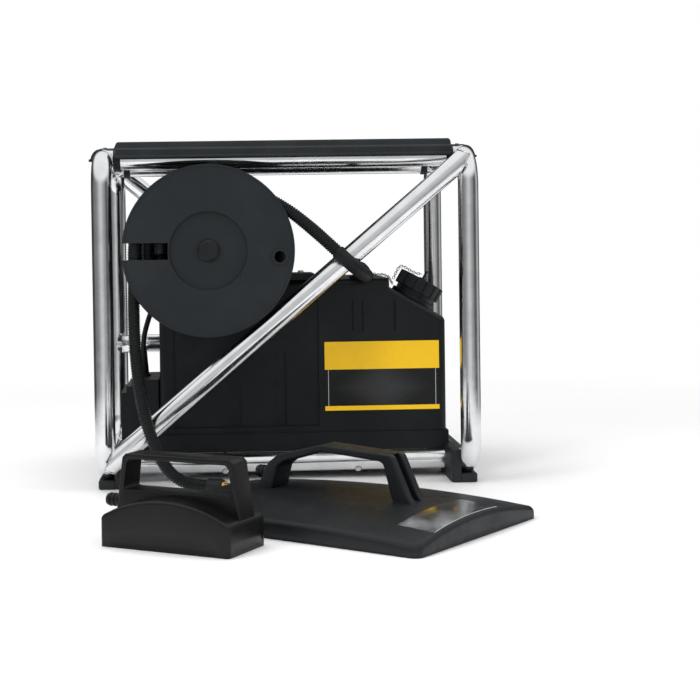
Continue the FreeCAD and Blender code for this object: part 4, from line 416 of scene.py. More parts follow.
@dataclass
class SharedEffects:
    """Node groups that several finishes use, each built once."""

    def __post_init__(self) -> None:
        """Build the groups."""
        self.grain = self.make_grain()
        self.drift = self.make_drift()
        self.rub = self.make_rub()

    def new_group(self, name: str, inputs: dict[str, str],
                  output: tuple[str, str]) -> tuple[Graph, bpy.types.Node, bpy.types.NodeSocket]:
        """Empty group with named sockets.

        Args:
            name: The group's name.
            inputs: Names and socket kinds that go in.
            output: Name and socket kind that comes out.

        Returns:
            The group's graph, its input node and the socket that takes its result.
        """
        tree = bpy.data.node_groups.new(name, "ShaderNodeTree")
        for label, kind in inputs.items():
            tree.interface.new_socket(name=label, in_out="INPUT", socket_type=f"NodeSocket{kind}")
        tree.interface.new_socket(name=output[0], in_out="OUTPUT", socket_type=f"NodeSocket{output[1]}")
        graph = Graph(tree)
        return graph, graph.node("NodeGroupInput"), graph.node("NodeGroupOutput").inputs[0]

    def make_grain(self) -> bpy.types.NodeTree:
        """Height of a spark-eroded mould's grain: fine noise over rounded cells."""
        graph, start, end = self.new_group(
            "mould_grain", {"Vector": "Vector", "Scale": "Float"}, ("Height", "Float"))
        place, scale = start.outputs[:2]
        cells = graph.node("ShaderNodeTexVoronoi", {"feature": "SMOOTH_F1"}, Vector=place, Scale=scale)
        fine = graph.node("ShaderNodeTexNoise", Vector=place, Detail=3.0, Scale=graph.product(scale, 2.3))
        low_cells = graph.product(cells.outputs["Distance"], 0.6)
        graph.feed(end, graph.sum_of("ADD", low_cells, fine.outputs["Fac"]))
        return graph.tree

    def make_drift(self) -> bpy.types.NodeTree:
        """Colour that drifts between two tones in broad soft patches with a few finer ones."""
        graph, start, end = self.new_group(
            "tone_drift", {"Vector": "Vector", "Scale": "Float", "Tone": "Color", "Second Tone": "Color"},
            ("Color", "Color"))
        place, scale, tone, second = start.outputs[:4]
        noise = graph.node("ShaderNodeTexNoise", Vector=place, Scale=scale, Detail=4.0, Roughness=0.6)
        graph.feed(end, graph.mixed(graph.ranged(noise.outputs["Fac"], 0.35, 0.7), tone, second))
        return graph.tree

    def make_rub(self) -> bpy.types.NodeTree:
        """Roughness between two values where handling has rubbed a surface, in patches and thin lines."""
        graph, start, end = self.new_group(
            "rubbed", {"Vector": "Vector", "Scale": "Float", "Low": "Float", "High": "Float"},
            ("Roughness", "Float"))
        place, scale, low, high = start.outputs[:4]
        patch = graph.node("ShaderNodeTexNoise", Vector=place, Scale=scale, Detail=5.0, Roughness=0.65)
        share = graph.ranged(patch.outputs["Fac"], 0.3, 0.75)
        rise = graph.product(share, graph.sum_of("SUBTRACT", high, low))
        graph.feed(end, graph.sum_of("ADD", rise, low))
        return graph.tree


class Finish:
    """Base of the finishes: a material with a Principled shader fed by Object coordinates."""

    shared: SharedEffects

    def start(self, name: str) -> tuple[bpy.types.Material, Graph, bpy.types.Node, bpy.types.NodeSocket]:
        """Material with its shader and its coordinates.

        Args:
            name: The material's name.

        Returns:
            Material, graph, Principled shader and the Object coordinates' socket.
        """
        material = bpy.data.materials.new(name)
        material.use_nodes = True
        graph = Graph(material.node_tree)
        shader = material.node_tree.nodes["Principled BSDF"]
        place = graph.node("ShaderNodeTexCoord").outputs["Object"]
        return material, graph, shader, place

    def group(self, graph: Graph, tree: bpy.types.NodeTree, **inputs: object) -> bpy.types.NodeSocket:
        """Result of one of the shared groups, placed in a material with its own values."""
        return graph.node("ShaderNodeGroup", {"node_tree": tree}, **inputs).outputs[0]

    def surface(self, graph: Graph, shader: bpy.types.Node, place: bpy.types.NodeSocket,
                tones: tuple[Colour, Colour], gloss: tuple[float, float],
                scales: tuple[float, float]) -> None:
        """Drift of tone and rubbed patches of gloss on a shader.

        Args:
            graph: The material's graph.
            shader: The Principled shader.
            place: The Object coordinates.
            tones: First and second tone.
            gloss: Lowest and highest roughness.
            scales: Scale of the drift and of the patches.
        """
        tone = self.group(graph, self.shared.drift, Vector=place, Scale=scales[0],
                          Tone=rgba(tones[0]), Second_Tone=rgba(tones[1]))
        rub = self.group(graph, self.shared.rub, Vector=place, Scale=scales[1], Low=gloss[0], High=gloss[1])
        graph.feed(shader.inputs["Base Color"], tone)
        graph.feed(shader.inputs["Roughness"], rub)


@dataclass(frozen=True)
class MouldedPlastic(Finish):
    """Black moulded plastic: fine grain, a drift of tone and rubbed patches."""

    name: str
    tone: Colour
    second: Colour
    low: float = 0.42
    high: float = 0.58
    grain: float = 900.0
    depth: float = 0.00004
    specular: float = 0.24

    def material(self) -> bpy.types.Material:
        """Build the material."""
        material, graph, shader, place = self.start(self.name)
        self.surface(graph, shader, place, (self.tone, self.second), (self.low, self.high), (14.0, 60.0))
        grain = self.group(graph, self.shared.grain, Vector=place, Scale=self.grain)
        bump = graph.node("ShaderNodeBump", Strength=0.6, Distance=self.depth, Height=grain)
        graph.feed(shader.inputs["Normal"], bump.outputs[0])
        shader.inputs["Specular IOR Level"].default_value = self.specular
        return material


@dataclass(frozen=True)
class DrawnMetal(Finish):
    """Metal with faint lines along one axis and rubbed patches."""

    name: str
    tone: Colour
    second: Colour
    low: float
    high: float
    stretch: Place = (900.0, 900.0, 12.0)
    depth: float = 0.000004

    def material(self) -> bpy.types.Material:
        """Build the material."""
        material, graph, shader, place = self.start(self.name)
        self.surface(graph, shader, place, (self.tone, self.second), (self.low, self.high), (30.0, 45.0))
        drawn = graph.node("ShaderNodeMapping", Vector=place, Scale=self.stretch)
        lines = graph.node("ShaderNodeTexNoise", Vector=drawn.outputs[0], Scale=1.0, Detail=2.0)
        bump = graph.node("ShaderNodeBump", Strength=0.35, Distance=self.depth, Height=lines.outputs["Fac"])
        graph.feed(shader.inputs["Normal"], bump.outputs[0])
        shader.inputs["Metallic"].default_value = 1.0
        return material


@dataclass(frozen=True)
class BandedLabel(Finish):
    """Plain label: a yellow head band, a dark panel lighter in its middle, and a yellow foot stripe."""

    name: str
    low: Place
    high: Place
    yellow: Colour = (1.0, 0.6, 0.012)
    dark: Colour = (0.004, 0.0045, 0.005)
    glow: Colour = (0.035, 0.036, 0.038)
    line: Colour = (0.55, 0.56, 0.57)
    head: float = 0.605
    foot: float = 0.085
    rim: tuple[float, float] = (0.018, 0.024)
    rule_from: tuple[float, float] = (0.4655, 0.4670)
    rule_to: tuple[float, float] = (0.4700, 0.4715)
    blur: float = 0.003

    def panel(self, graph: Graph, place: bpy.types.NodeSocket, off_side: bpy.types.NodeSocket,
              up: bpy.types.NodeSocket) -> bpy.types.NodeSocket:
        """Dark field with a soft glow in its middle, under a fine web of dots."""
        off_up = graph.off(up, (self.head + self.foot) / 2)
        far = graph.sum_of("ADD", off_side, graph.product(off_up, 0.8))
        dots = graph.node("ShaderNodeTexVoronoi", {"feature": "F1"}, Vector=place, Scale=700.0,
                          Randomness=0.0)
        web = graph.ranged(dots.outputs["Distance"], 0.2, 0.6, 1.0, 0.82)
        share = graph.product(graph.ranged(far, 0.05, 0.5, 1.0, 0.0), web)
        return graph.mixed(share, rgba(self.dark), rgba(self.glow))

    def material(self) -> bpy.types.Material:
        """Build the material: the panel, then over it its two rules, the bands and a dark lower rim."""
        material, graph, shader, place = self.start(self.name)
        axes = graph.node("ShaderNodeSeparateXYZ", Vector=place)
        across = graph.scaled(axes.outputs[0], self.low[0], self.high[0])
        up = graph.scaled(axes.outputs[2], self.low[2], self.high[2])
        off_side = graph.off(across, 0.5)
        rule = graph.product(graph.ranged(off_side, *self.rule_from),
                             graph.ranged(off_side, *self.rule_to, 1.0, 0.0))
        colour = graph.mixed(rule, self.panel(graph, place, off_side, up), rgba(self.line))
        over_head = graph.ranged(up, self.head - self.blur, self.head + self.blur)
        under_foot = graph.ranged(up, self.foot - self.blur, self.foot + self.blur, 1.0, 0.0)
        under_rim = graph.ranged(up, *self.rim, 1.0, 0.0)
        for share, tone in ((over_head, self.yellow), (under_foot, self.yellow), (under_rim, self.dark)):
            colour = graph.mixed(share, colour, rgba(tone))
        rub = self.group(graph, self.shared.rub, Vector=place, Scale=40.0, Low=0.26, High=0.38)
        graph.feed(shader.inputs["Base Color"], colour)
        graph.feed(shader.inputs["Roughness"], rub)
        shader.inputs["Specular IOR Level"].default_value = 0.3
        return material


# --- cords and hoses ------------------------------------------------------------------------------


def route(name: str, points: Sequence, radius: float = 0.0) -> bpy.types.Object:
    """Smooth curve of one open NURBS spline whose control points are a route.

    Args:
        name: The object's name.
        points: Control points in metres of the frame.
        radius: Radius of the round section, or nothing for a bare line.

    Returns:
        The curve object.
    """
    curve = bpy.data.curves.new(name, "CURVE")
    curve.dimensions = "3D"
    spline = curve.splines.new("NURBS")
    spline.points.add(len(points) - 1)
    spline.points.foreach_set("co", np.column_stack([points, np.ones(len(points))]).ravel())
    spline.order_u = 3
    spline.use_endpoint_u = True
    curve.resolution_u = 10
    curve.bevel_depth = radius
    curve.bevel_resolution = 5
    curve.use_fill_caps = radius > 0
    piece = bpy.data.objects.new(name, curve)
    bpy.context.scene.collection.objects.link(piece)
    return piece


def centre_line(points: Sequence) -> np.ndarray:
    """Points read from a route's own NURBS spline, in metres."""
    bare = route("bare_line", points)
    bpy.context.view_layer.update()
    mesh = bpy.data.meshes.new_from_object(bare)
    line = np.zeros(len(mesh.vertices) * 3)
    mesh.vertices.foreach_get("co", line)
    bpy.data.meshes.remove(mesh)
    bpy.data.objects.remove(bare)
    return line.reshape(-1, 3)


@dataclass
class RibbedHose:
    """Corrugated hose with flat-topped ribs, in millimetres."""

    crest: float = 7.8
    valley: float = 6.75
    pitch: float = 3.15
    sides: int = 26
    per_rib: int = 8
    squared: float = 1.8

    def skin(self, line: np.ndarray, steady: Sequence[float]) -> np.ndarray:
        """Tube round a line whose radius runs valley + (crest - valley) * wave, a cosine squared off by tanh.

        Args:
            line: Centre line in metres.
            steady: Direction that the line never takes.

        Returns:
            Grid in metres.
        """
        stations = resampled(line, self.pitch * MM / self.per_rib)
        phase = 2 * np.pi * np.arange(len(stations)) / self.per_rib
        wave = 0.5 - 0.5 * np.tanh(self.squared * np.cos(phase)) / math.tanh(self.squared)
        radii = (self.valley + (self.crest - self.valley) * wave) * MM
        return tube_grid(stations, radii, self.sides, steady)


# --- sub-assemblies -------------------------------------------------------------------------------


@dataclass(frozen=True)
class Kept:
    """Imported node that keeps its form, with its finish and the rounding of its edges in millimetres."""

    node: str
    finish: str
    rounding: float = 0.0
    faces: int = 3


@dataclass
class Assembly:
    """What every sub-assembly knows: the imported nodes, the finishes and the nodes that it keeps."""

    nodes: dict[str, bpy.types.Object]
    finishes: dict[str, bpy.types.Material]
    kept: tuple[Kept, ...] = ()

    def build(self) -> None:
        """Dress the kept nodes, then make the new pieces."""
        for part in self.kept:
            node = self.nodes[part.node]
            for holder in node.material_slots:
                holder.material = self.finishes[part.finish]
            if part.rounding:
                soften(node, part.rounding, part.faces)
            log.info("%s keeps its packed form", part.node)
        self.make()

    def make(self) -> None:
        """Make the pieces that stand for nodes; an assembly of kept nodes has none."""

    def dress(self, piece: bpy.types.Object, finish: str, body: Body, slot: str, *stands_for: str) -> None:
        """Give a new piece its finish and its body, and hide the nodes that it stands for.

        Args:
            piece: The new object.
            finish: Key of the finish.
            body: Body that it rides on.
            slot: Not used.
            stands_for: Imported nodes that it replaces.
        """
        piece.data.materials.append(self.finishes[finish])
        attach(piece, body.value)
        if stands_for:
            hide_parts(*stands_for)
        log.info("%s rides on %s", piece.name, body.value)


@dataclass
class TubeCage(Assembly):
    """Chromed hoops, rails and braces, with a bead where one tube is joined to another."""

    kept: tuple[Kept, ...] = (
        Kept("cross_rail_caps", "fitting", 0.9), Kept("frame_screws", "screw", 0.35, 2),
        Kept("tank_screws", "screw", 0.35, 2), Kept("bracket_screws", "screw", 0.35, 2))
    radius: float = 12.5
    spacing: float = 450.0
    depth: float = 300.0
    low: float = 22.0
    high: float = 407.0
    bend: float = 38.0
    sides: int = 56
    bead: float = 1.1
    pad_half: float = 10.5
    pad_corner: float = 3.0
    pad_grip: float = 1.4
    pad_rim: float = 1.5
    block_reach: float = 0.72
    sunk: float = 0.05
    rails: tuple[tuple[str, float, float], ...] = (
        ("top_front_rail", 38.0, 407.0), ("top_rear_rail", 262.0, 407.0),
        ("bottom_front_rail", 71.0, 22.0), ("bottom_rear_rail", 229.0, 22.0))
    brace_low: float = 38.7
    brace_high: float = 396.5
    cross_y: float = 274.7
    cross_z: float = 161.0
    cross_length: float = 438.0
    wall: float = 1.5

    def make(self) -> None:
        """Make every tube, bead and foot."""
        for label, side in (("left", -1.0), ("right", 1.0)):
            self.hoop(label, side)
        for name, y, z in self.rails:
            self.rail(name, y, z)
        self.brace("front_brace", 0.0, 1.0)
        self.brace("rear_brace", self.depth, -1.0)
        self.cross_rail()
        for end in ("front", "rear"):
            for label, side in (("left", -1.0), ("right", 1.0)):
                self.foot(end, label, side)

    def tube(self, shape: Shape, node: str) -> None:
        """Chromed piece of the cage that stands for a node."""
        self.dress(shape.build(), "chrome", Body.CAGE, "chrome_tube", node)

    def hoop(self, label: str, side: float) -> None:
        """Closed tube along a rectangle with four round bends, at one side of the cage."""
        corners = [(0.0, self.low), (self.depth, self.low), (self.depth, self.high), (0.0, self.high)]
        flat = rounded_corners(corners, self.bend, 22)
        flat = refined(flat, 2, True)
        path = np.column_stack([np.full(len(flat), side * self.spacing / 2), flat])
        grid = tube_grid(in_frame(path), self.radius * MM, self.sides, ACROSS, closed=True)
        self.tube(Shape(f"{label}_hoop_tube").add(grid, Wrap.BOTH), f"{label}_hoop")

    def foot(self, end: str, label: str, side: float) -> None:
        """Pad under the hoop's bottom run and a block beside it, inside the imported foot.

        Each is a stack of rounded rectangles whose rims draw in by a quarter circle at both ends.
        """
        name = f"{end}_{label}_foot"
        low, high = (np.array(corner) / MM - CAGE_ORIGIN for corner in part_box(name))
        hoop_x = side * self.spacing / 2
        inboard = high[0] if side < 0 else low[0]
        edge = hoop_x - side * self.radius * self.block_reach
        pad_top = self.low - self.radius + self.pad_grip
        quarter = np.linspace(0, np.pi / 2, 5)
        rim, rise = self.pad_rim * (1 - np.sin(quarter)), self.pad_rim * (1 - np.cos(quarter))
        shape = Shape(f"{name}_pad")
        for first, last, top in ((hoop_x - self.pad_half, hoop_x + self.pad_half, pad_top),
                                 (min(inboard, edge), max(inboard, edge), high[2])):
            middle = np.array([(first + last) / 2, (low[1] + high[1]) / 2])
            half = np.array([(last - first) / 2, (high[1] - low[1]) / 2])
            rows = []
            for inset, z in zip([*rim, *rim[::-1]], [*rise, *(top - rise[::-1])]):
                line = rounded_rectangle(half[0] - inset, half[1] - inset, self.pad_corner, 6)
                rows.append(np.column_stack([line + middle, np.full(len(line), z)]))
            shape.add(in_frame(np.array(rows)), capped=True)
        self.dress(shape.build(50.0), "foot", Body.CAGE, "foot_rubber", name)

    def coped(self, start: np.ndarray, end: np.ndarray, axes: Sequence[tuple]) -> np.ndarray:
        """Straight tube whose end rings lie on the round sides of the tubes that it meets.

        A ring point p + t * d is on a cylinder where the part of p + t * d - q across the axis a is as long
        as the radius; that is a quadratic in t, and the end nearer the middle of the tube is taken.

        Args:
            start: First end of the centre line.
            end: Last end of the centre line.
            axes: For each end a point on the other tube's axis and its heading.

        Returns:
            Grid of two rings in cage millimetres.
        """
        heading = unit(end - start)
        spare = np.array([0.0, 1.0, 0.0])
        side = unit(spare - heading * (heading @ spare))
        other = np.cross(heading, side)
        angle = np.linspace(0, 2 * np.pi, self.sides, endpoint=False)[:, None]
        ring = (start + end) / 2 + self.radius * (side * np.cos(angle) + other * np.sin(angle))
        rows = []
        for sign, (point, axis) in zip((-1.0, 1.0), axes):
            along = unit(np.asarray(axis, float))
            gap = ring - np.asarray(point, float)
            gap = gap - (gap @ along)[:, None] * along
            pace = sign * (heading - (heading @ along) * along)
            a = pace @ pace
            b = 2 * (gap @ pace)
            c = (gap * gap).sum(1) - (self.radius - self.sunk) ** 2
            way = (-b - np.sqrt(np.maximum(b * b - 4 * a * c, 0.0))) / (2 * a)
            rows.append(ring + sign * heading * way[:, None])
        share = np.linspace(0, 1, 9)[:, None, None]
        return rows[0] * (1 - share) + rows[1] * share

    def beaded(self, shape: Shape, grid: np.ndarray) -> Shape:
        """Tube with a thin round bead along each end ring."""
        shape.add(in_frame(grid))
        for row in (grid[0], grid[-1]):
            ring = in_frame(row)
            middle = ring.mean(0)
            out = unit(ring - middle)
            ahead = unit(np.roll(ring, -1, 0) - np.roll(ring, 1, 0))
            up = np.cross(ahead, out)
            angle = np.linspace(0, 2 * np.pi, 8, endpoint=False)[:, None]
            spoke = out[:, None] * np.cos(angle) + up[:, None] * np.sin(angle)
            shape.add(ring[:, None] + self.bead * MM * spoke, Wrap.BOTH)
        return shape

    def rail(self, name: str, y: float, z: float) -> None:
        """Rail between the hoops' runs."""
        reach = self.spacing / 2
        grid = self.coped(np.array([-reach, y, z]), np.array([reach, y, z]),
                          [((-reach, y, z), BACKWARDS), ((reach, y, z), BACKWARDS)])
        self.tube(self.beaded(Shape(f"{name}_tube"), grid), name)

    def brace(self, name: str, y: float, slope: float) -> None:
        """Diagonal between two posts; its slope is up to the right or up to the left."""
        reach, half = self.spacing / 2, (self.spacing / 2 - self.radius)
        middle, rise = (self.brace_low + self.brace_high) / 2, (self.brace_high - self.brace_low) / 2
        start, end = np.array([-half, y, middle - slope * rise]), np.array([half, y, middle + slope * rise])
        grid = self.coped(start, end, [((-reach, y, 0), UPWARDS), ((reach, y, 0), UPWARDS)])
        self.tube(self.beaded(Shape(f"{name}_tube"), grid), name)

    def cross_rail(self) -> None:
        """Rail across the rear posts, open at its ends for the caps."""
        half = self.cross_length / 2
        path = np.linspace((-half, self.cross_y, self.cross_z), (half, self.cross_y, self.cross_z), 12)
        grid = tube_grid(in_frame(path), self.radius * MM, self.sides, BACKWARDS)
        piece = Shape("rear_cross_tube").add(grid).build()
        self.dress(thickened(piece, self.wall), "chrome", Body.CAGE, "chrome_tube", "rear_cross_rail")


@dataclass
class TopCover(Assembly):
    """Moulded cover: a stepped panel between the hoops, whose ends fold round the hoops' top runs."""

    saddle_x: float = 225.0
    saddle_z: float = 407.0
    saddle: float = 15.4
    half_y: float = 130.0
    middle_y: float = 150.0
    set_back: float = 17.0
    set_back_from: float = 208.5
    set_back_over: float = 3.5
    skirt: float = 408.0
    lip: Outline = ((-1.2, 0.0), (-1.5, 1.0), (-1.5, 3.0), (-0.8, 3.9), (0.0, 4.4))
    ledge: float = 421.0
    top: float = 429.3
    edge: float = 3.0
    ledge_width: float = 8.0
    step_width: float = 3.0
    panel_x: float = 206.0
    panel_slope: float = 6.0
    wall: float = 2.4
    collar: float = 14.4
    collar_bore: float = 12.7
    collar_rim: float = 1.2
    collar_in: float = 13.2
    collar_length: float = 9.0
    rail_y: tuple[float, float] = (38.0, 262.0)

    def stepped(self) -> np.ndarray:
        """Way in from the front edge and height: lip, rounded edge, ledge, smooth step and panel."""
        quarter = np.linspace(0, np.pi / 2, 7)
        rounded = np.column_stack([self.edge * (1 - np.cos(quarter)),
                                   self.ledge - self.edge + self.edge * np.sin(quarter)])
        share = np.linspace(0, 1, 7)
        step = np.column_stack([self.ledge_width + self.step_width * share,
                                self.ledge + (self.top - self.ledge) * smooth(share)])
        lip = np.array(self.lip) + (0.0, self.skirt)
        panel = np.column_stack([np.linspace(self.ledge_width + self.step_width + 1.0, self.half_y, 16),
                                 np.full(16, self.top)])
        return np.concatenate([lip, rounded, step, panel])

    def end_height(self, x: np.ndarray) -> np.ndarray:
        """Greatest height at a place across: the panel, a smooth slope, then the circle round the hoop."""
        away = np.abs(x)
        circle = self.saddle_z + np.sqrt(np.maximum(self.saddle ** 2 - (away - self.saddle_x) ** 2, 0.0))
        share = np.clip((away - self.panel_x) / self.panel_slope, 0, 1)
        crest = self.saddle_z + self.saddle
        inner = self.top + (crest - self.top) * smooth(share)
        return np.where(away < self.saddle_x, inner, circle)

    def make(self) -> None:
        """Grid of the stepped section carried across, held under the ends' height."""
        section = self.stepped()
        whole = np.concatenate([section, section[::-1][1:] * (-1, 1) + (2 * self.half_y, 0)])
        round_end = self.saddle_x + self.saddle * np.sin(np.linspace(0, np.pi / 2, 14))
        side = np.concatenate([np.linspace(0, self.panel_x, 20)[:-1],
                               np.linspace(self.panel_x, self.saddle_x, 16)[:-1], round_end])
        across = np.concatenate([-side[::-1], side[1:]])
        past = np.clip((np.abs(across) - self.set_back_from) / self.set_back_over, 0, 1)
        draw = self.set_back * smooth(past)
        spread = (whole[:, 0] / self.half_y - 1.0)[:, None]
        y = self.middle_y + spread * (self.half_y - draw)
        z = np.minimum(whole[:, 1][:, None], self.end_height(across))
        grid = np.stack([np.broadcast_to(across, z.shape), y, z], axis=-1)
        piece = Shape("cover_shell").add(in_frame(grid), Wrap.OPEN).build(50.0)
        self.dress(thickened(piece, self.wall), "cover", Body.CAGE, "cover_plastic", "top_cover")
        self.collars()

    def collars(self) -> None:
        """Short rings that hold the top rails' ends under the cover: a turned section with rounded rims."""
        inner, outer, rim, length = self.collar_bore, self.collar, self.collar_rim, self.collar_length
        section = np.array([(inner, 0.0), (outer - rim, 0.0), (outer, rim), (outer, length - rim),
                            (outer - rim, length), (inner, length)])
        shape = Shape("rail_collars")
        start = self.saddle_x - self.collar_in
        for rail_y in self.rail_y:
            for side in (-1.0, 1.0):
                ring = turned_grid(section, (side * start, rail_y, self.saddle_z), (-side, 0, 0), 40)
                shape.add(in_frame(ring), Wrap.BOTH)
        self.dress(shape.build(35.0), "fitting", Body.CAGE, "cover_plastic")


@dataclass
class WaterTank(Assembly):
    """Tank, its tray, its label, the filler and the steam outlet."""

    kept: tuple[Kept, ...] = (
        Kept("tank_shell", "tank", 1.1), Kept("tank_base", "tank", 1.6), Kept("filler_neck", "tank", 0.8),
        Kept("tank_label", "label"), Kept("filler_cap", "cap", 0.7), Kept("cap_stud", "cap", 0.5, 2),
        Kept("cap_seal", "seal"), Kept("outlet_elbow", "fitting", 0.8), Kept("heating_element", "element"),
        Kept("thermostat", "resin", 0.5, 2), Kept("heater_housing", "fitting", 1.4))


@dataclass
class CapChain(Assembly):
    """Small oval links, each a quarter turn from the last."""

    long: float = 2.3
    wide: float = 1.5
    wire: float = 0.42
    pitch: float = 3.05
    tilt: float = 29.659
    neck: Place = (168.9, 118.0, 223.696)
    upper: Outline = (
        (-5.6, 35.5), (-12.0, 33.3), (-22.0, 33.1), (-30.0, 33.7), (-34.8, 30.9), (-35.0, 22.5),
        (-34.4, 14.5))

    def links(self, name: str, line: np.ndarray, body: Body, node: str) -> None:
        """Links along a line.

        A link's centre line is an oval of long and wide half sizes in the plane of the heading and a side,
        and its wire is a circle about that line.

        Args:
            name: The piece's name.
            line: Route in metres.
            body: Body that the chain rides on.
            node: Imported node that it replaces.
        """
        stations = resampled(line, self.pitch * MM)
        heading = unit(np.gradient(stations, axis=0))
        side = unit(np.cross(heading, UPWARDS))
        up = np.cross(side, heading)
        turn = (np.arange(len(stations)) % 2)[:, None]
        wide = np.where(turn == 1, up, side)
        flat = np.where(turn == 1, side, up)
        angle = np.linspace(0, 2 * np.pi, 20, endpoint=False)
        about = np.linspace(0, 2 * np.pi, 7, endpoint=False)
        ahead = heading[:, None] * np.cos(angle)[:, None]
        aside = wide[:, None] * np.sin(angle)[:, None]
        out = unit(ahead * self.wide / self.long + aside)
        oval = ahead * self.long + aside * self.wide
        section = out[:, :, None] * np.cos(about)[:, None] + flat[:, None, None] * np.sin(about)[:, None]
        grids = stations[:, None, None] + (oval[:, :, None] + section * self.wire) * MM
        shape = Shape(name)
        for grid in grids:
            shape.add(grid, Wrap.BOTH)
        self.dress(shape.build(80.0), "chain", body, "chain_steel", node)

    def make(self) -> None:
        """The chain that rides with the cap's stud and the chain to the elbow."""
        tilt = math.radians(self.tilt)
        across = np.array([math.cos(tilt), 0.0, -math.sin(tilt)])
        along = np.array([math.sin(tilt), 0.0, math.cos(tilt)])
        upper = np.array(self.upper)
        line = np.array(self.neck) + upper[:, :1] * across + upper[:, 1:] * along
        self.links("upper_cap_chain", in_frame(line), Body.CAP_SWIVEL, "cap_chain")
        self.links("lower_cap_chain", np.array(LOWER_CHAIN), Body.CAGE, "lower_chain")


@dataclass
class HoseReel(Assembly):
    """Reel, bracket, the wound hose and the hose's outer runs."""

    kept: tuple[Kept, ...] = (
        Kept("reel_front_flange", "reel", 0.9), Kept("reel_back_flange", "reel", 0.5, 2),
        Kept("reel_drum", "reel", 0.5, 2), Kept("axle_cap", "fitting", 0.9), Kept("reel_axle", "axle"),
        Kept("reel_bracket", "fitting", 1.2), Kept("hose_connector", "fitting", 0.8),
        Kept("brass_nozzle", "brass", 0.25, 2))
    centre_x: float = -95.5
    centre_z: float = 293.5
    turns_from: float = 16.4
    pitch: float = 16.4
    turns: float = 1.6037
    outer: float = 91.0
    inner: tuple[float, ...] = (75.0, 59.2)
    inner_from: float = -0.2
    inner_turns: float = 2.6
    inner_start: float = 1.1
    inner_shift: float = 2.1
    turn_steps: int = 180
    sleeve_radius: float = 8.5
    sleeve_step: float = 1.5
    lip: float = 0.7
    lip_in: float = 3.0
    lip_width: float = 2.2

    def wound(self, radius: float, first_y: float, turns: float, start: float) -> np.ndarray:
        """Helix about the reel's axis: the angle falls with the turn and Y rises by a pitch a turn."""
        turn = np.linspace(0, turns, int(turns * self.turn_steps))
        angle = start - 2 * np.pi * turn
        return in_frame(np.column_stack([self.centre_x + radius * np.cos(angle), first_y + self.pitch * turn,
                                         self.centre_z + radius * np.sin(angle)]))

    def make(self) -> None:
        """Make the hose: its winding, its inner layers and its three runs."""
        hose = RibbedHose()
        winding = self.wound(self.outer, self.turns_from, self.turns, np.pi / 2)
        wound = Shape("wound_hose").add(hose.skin(winding, BACKWARDS), capped=True)
        self.dress(wound.build(70.0), "hose", Body.REEL, "hose_plastic", "hose_winding")
        layers = Shape("inner_hose_turns")
        coarse = RibbedHose(sides=18, per_rib=6)
        for number, radius in enumerate(self.inner):
            start = self.inner_start + self.inner_shift * number
            layer = self.wound(radius, self.inner_from, self.inner_turns, start)
            layers.add(coarse.skin(layer, BACKWARDS), capped=True)
        self.dress(layers.build(70.0), "hose", Body.REEL, "hose_plastic", "hose_core")
        run = Shape("outlet_hose").add(hose.skin(centre_line(OUTLET_ROUTE), BACKWARDS), capped=True)
        self.dress(run.build(70.0), "hose", Body.CAGE, "hose_plastic", "hose_outlet_run")
        self.sleeve()
        self.free_hose(hose)

    def sleeve(self) -> None:
        """Smooth sleeve over the hose's end; a bell curve of the way passed makes a lip at each end."""
        line = resampled(centre_line(SLEEVE_ROUTE), self.sleeve_step * MM)
        passed = np.arange(len(line)) * self.sleeve_step
        near = np.exp(-((passed - self.lip_in) / self.lip_width) ** 2)
        far = np.exp(-((passed[-1] - passed - self.lip_in) / self.lip_width) ** 2)
        grid = tube_grid(line, (self.sleeve_radius + self.lip * (near + far)) * MM, 36, ACROSS)
        sleeve = Shape("hose_end_sleeve").add(grid, capped=True).build(60.0)
        self.dress(sleeve, "sleeve", Body.CAGE, "hose_plastic", "hose_sleeve")

    def free_hose(self, hose: RibbedHose) -> None:
        """Hose that hangs from the reel to the floor and ends in the connector."""
        line = centre_line(FREE_ROUTE)
        piece = Shape("free_hose").add(hose.skin(line, BACKWARDS), capped=True).build(70.0)
        self.dress(piece, "hose", Body.CAGE, "hose_plastic", "hose_free_run")


